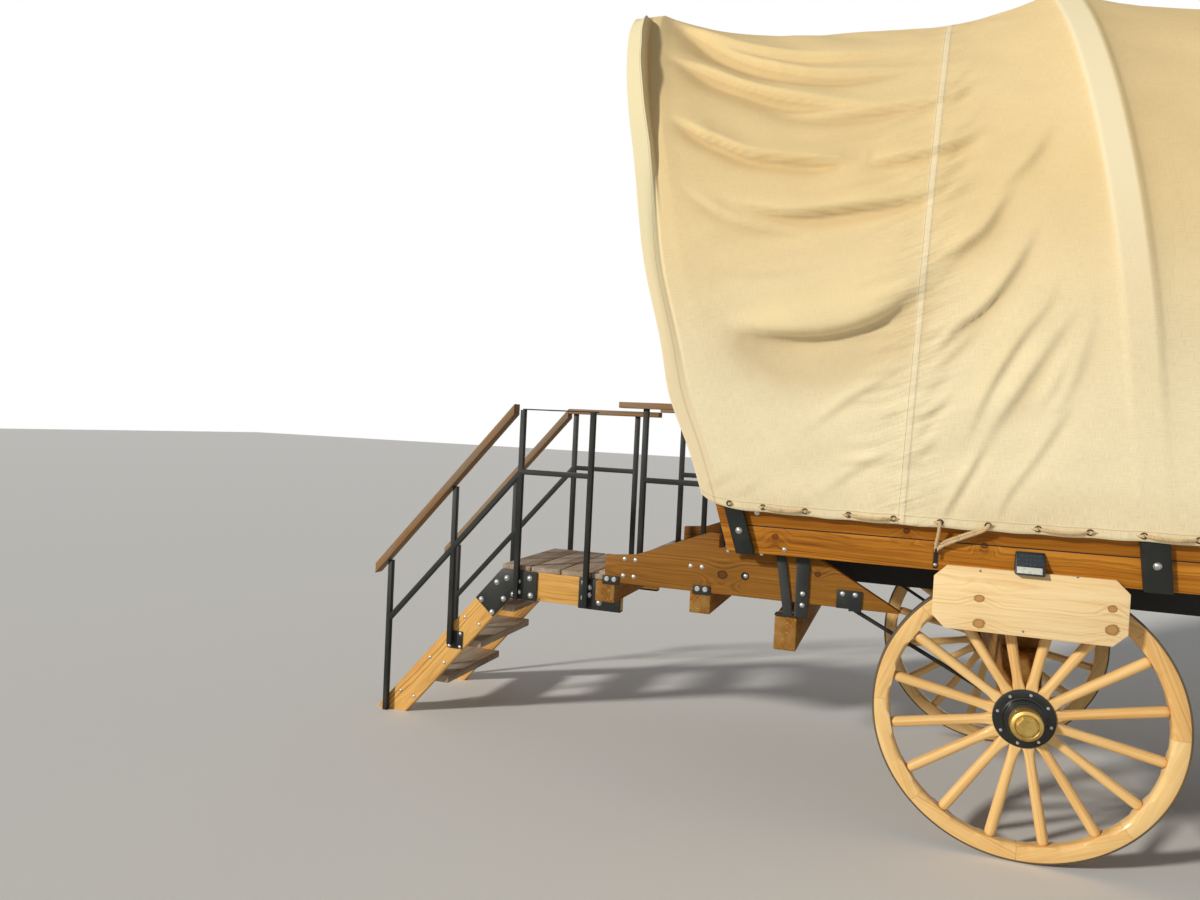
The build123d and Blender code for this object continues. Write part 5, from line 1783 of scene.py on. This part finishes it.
# The upper boards in darker colours of the same wood: painted shade from the cover over them
UPPER_BOARD_WOOD_PAINTED_SHADE = wood("box_boards_painted_shade", (186, 122, 38), (156, 94, 16), (100, 54, 8), BOARD_KNOTS, 0.1,
                  rough=0.5)
HOUND_WOOD = wood("oiled_porch_planks", (166, 114, 44), (140, 92, 28), (98, 60, 18), HOUND_KNOTS, 0.1,
                  rough=0.6)
TIMBER_WOOD = wood("rough_timbers", (170, 114, 40), (142, 90, 22), (96, 56, 14), rough=0.68,
                   grey=(160, 122, 66), depth=0.0012, ends_at=0.700)
BEAM_WOOD = wood("oiled_landing_beams", (236, 186, 108), (216, 162, 82), (160, 106, 42), scatter=0.3,
                 rough=0.55)
STRINGER_WOOD = wood("oiled_stringers", (255, 208, 130), (238, 184, 104), (172, 114, 46), scatter=0.3,
                     rough=0.55)
DECK_WOOD = wood("weathered_deck", (180, 157, 130), (150, 129, 106), (98, 81, 65), rough=0.78,
                 grey=(182, 170, 154), depth=0.0012)
RAIL_WOOD = wood("weathered_handrails", (180, 138, 92), (150, 112, 70), (104, 76, 48), rough=0.62,
                 grey=(138, 126, 108), scatter=0.2)
WHEEL_WOOD = wood("varnished_wheel_wood", (248, 216, 156), (238, 196, 128), (212, 156, 84), scatter=0.0,
                  rough=0.42, coat=0.25, depth=0.0003, ring_share=0.5)
PLAQUE_WOOD = wood("plaque_pine", (254, 232, 186), (248, 218, 164), (222, 178, 114), PLAQUE_KNOTS, 0.0,
                   rough=0.5, ring_share=0.6, knot_body=(186, 132, 66))
BLACK_STEEL = painted_steel("black_painted_steel", (36, 39, 37), (78, 76, 68), 0.45)
TYRE_IRON = painted_steel("dark_tyre_iron", (98, 84, 64), (150, 126, 94), 0.55)
HUB_BLACK = plain_finish("gloss_black_hub", (20, 22, 19), (28, 30, 26), 0.24, coat=0.1)
# Near black for painted shade: the sunk bolt holes and the joints between the side boards
SHADE_BLACK = plain_finish("painted_shade_black", (14, 13, 12), (22, 20, 18), 0.8)
BRASS = bare_metal("worn_brass", (206, 178, 104), (176, 146, 82), 0.36, 30)
ZINC = bare_metal("bright_zinc", (212, 212, 208), (168, 168, 164), 0.30, 160)
ZINC_WORN = bare_metal("dull_zinc", (170, 168, 160), (118, 114, 106), 0.42, 160)
EYELET_METAL = bare_metal("dark_brass_eyelets", (96, 84, 62), (58, 52, 42), 0.45, 120)
ROPE = lacing_rope("manila_lacing")
LAMP_PLASTIC = plain_finish("lamp_housing", (22, 28, 30), (30, 38, 40), 0.4, 60)
SOLAR_CELL = plain_finish("solar_cells", (14, 30, 36), (20, 40, 48), 0.2, 90, coat=0.15)
LAMP_LENS = plain_finish("lamp_lens", (214, 216, 206), (190, 192, 182), 0.3, 80)
WALL_BOARDS = boarded_wall("matched_wall_boards")
FRAME_STEEL = painted_steel("frame_steel", (40, 40, 40), (84, 76, 66), 0.6)

# Boards and timbers: node, finish, how far the edges are eased and in how many steps, way of the grain
BOARDS = [
    ("side_boards_lower", BOARD_WOOD, 0.004, 3, ALONG),
    ("side_boards_upper", UPPER_BOARD_WOOD_PAINTED_SHADE, 0.004, 3, ALONG),
    ("end_boards", BOARD_WOOD, 0.004, 2, ACROSS),
    ("floor_boards", DECK_WOOD, 0.003, 1, ACROSS),
    ("hounds", HOUND_WOOD, 0.004, 3, ALONG),
    ("porch_timbers", TIMBER_WOOD, 0.005, 3, ACROSS),
    ("porch_deck", DECK_WOOD, 0.005, 2, ACROSS),
    ("landing_beams", BEAM_WOOD, 0.003, 2, ALONG),
    ("landing_boards", DECK_WOOD, 0.004, 2, ACROSS),
    ("stair_stringers", STRINGER_WOOD, 0.003, 2, (0.6561, 0, 0.7547)),
    ("stair_treads", DECK_WOOD, 0.005, 2, ACROSS),
    ("stair_handrails", RAIL_WOOD, 0.003, 2, None),
    ("porch_rail_caps", RAIL_WOOD, 0.003, 2, ALONG),
    ("bolsters", TIMBER_WOOD, 0.006, 2, ACROSS),
    ("sign_plaque", PLAQUE_WOOD, 0.0025, 3, ALONG),
]
REPAINTED = {
    "axles": FRAME_STEEL,
    "frame_rails": FRAME_STEEL,
    "cross_members": FRAME_STEEL,
    "front_wall": WALL_BOARDS,
    "rear_wall": WALL_BOARDS,
    "door": WALL_BOARDS,
    "door_hinges": BLACK_STEEL,
}

HEADS = heads_tree()
COVER = canvas_cover()
wheels()
for seed, (node, finish, width, segments, way) in enumerate(BOARDS, 1):
    eased(node, finish, width, segments, grain_seed=seed, grain_axis=way)
for node in ("porch_rails", "stair_rails", "porch_iron", "stair_plates"):
    eased(node, BLACK_STEEL, 0.0018, 2)
for k in range(len(BOWS)):
    eased(f"bow_{k + 1}", BLACK_STEEL, 0.003, 2)
for node, finish in REPAINTED.items():
    repaint(node, finish)
lacing()
ironwork()
deck_screws()
solar_lamp()
door_fittings()
floor_and_sky()
sunlight()
photo_camera()
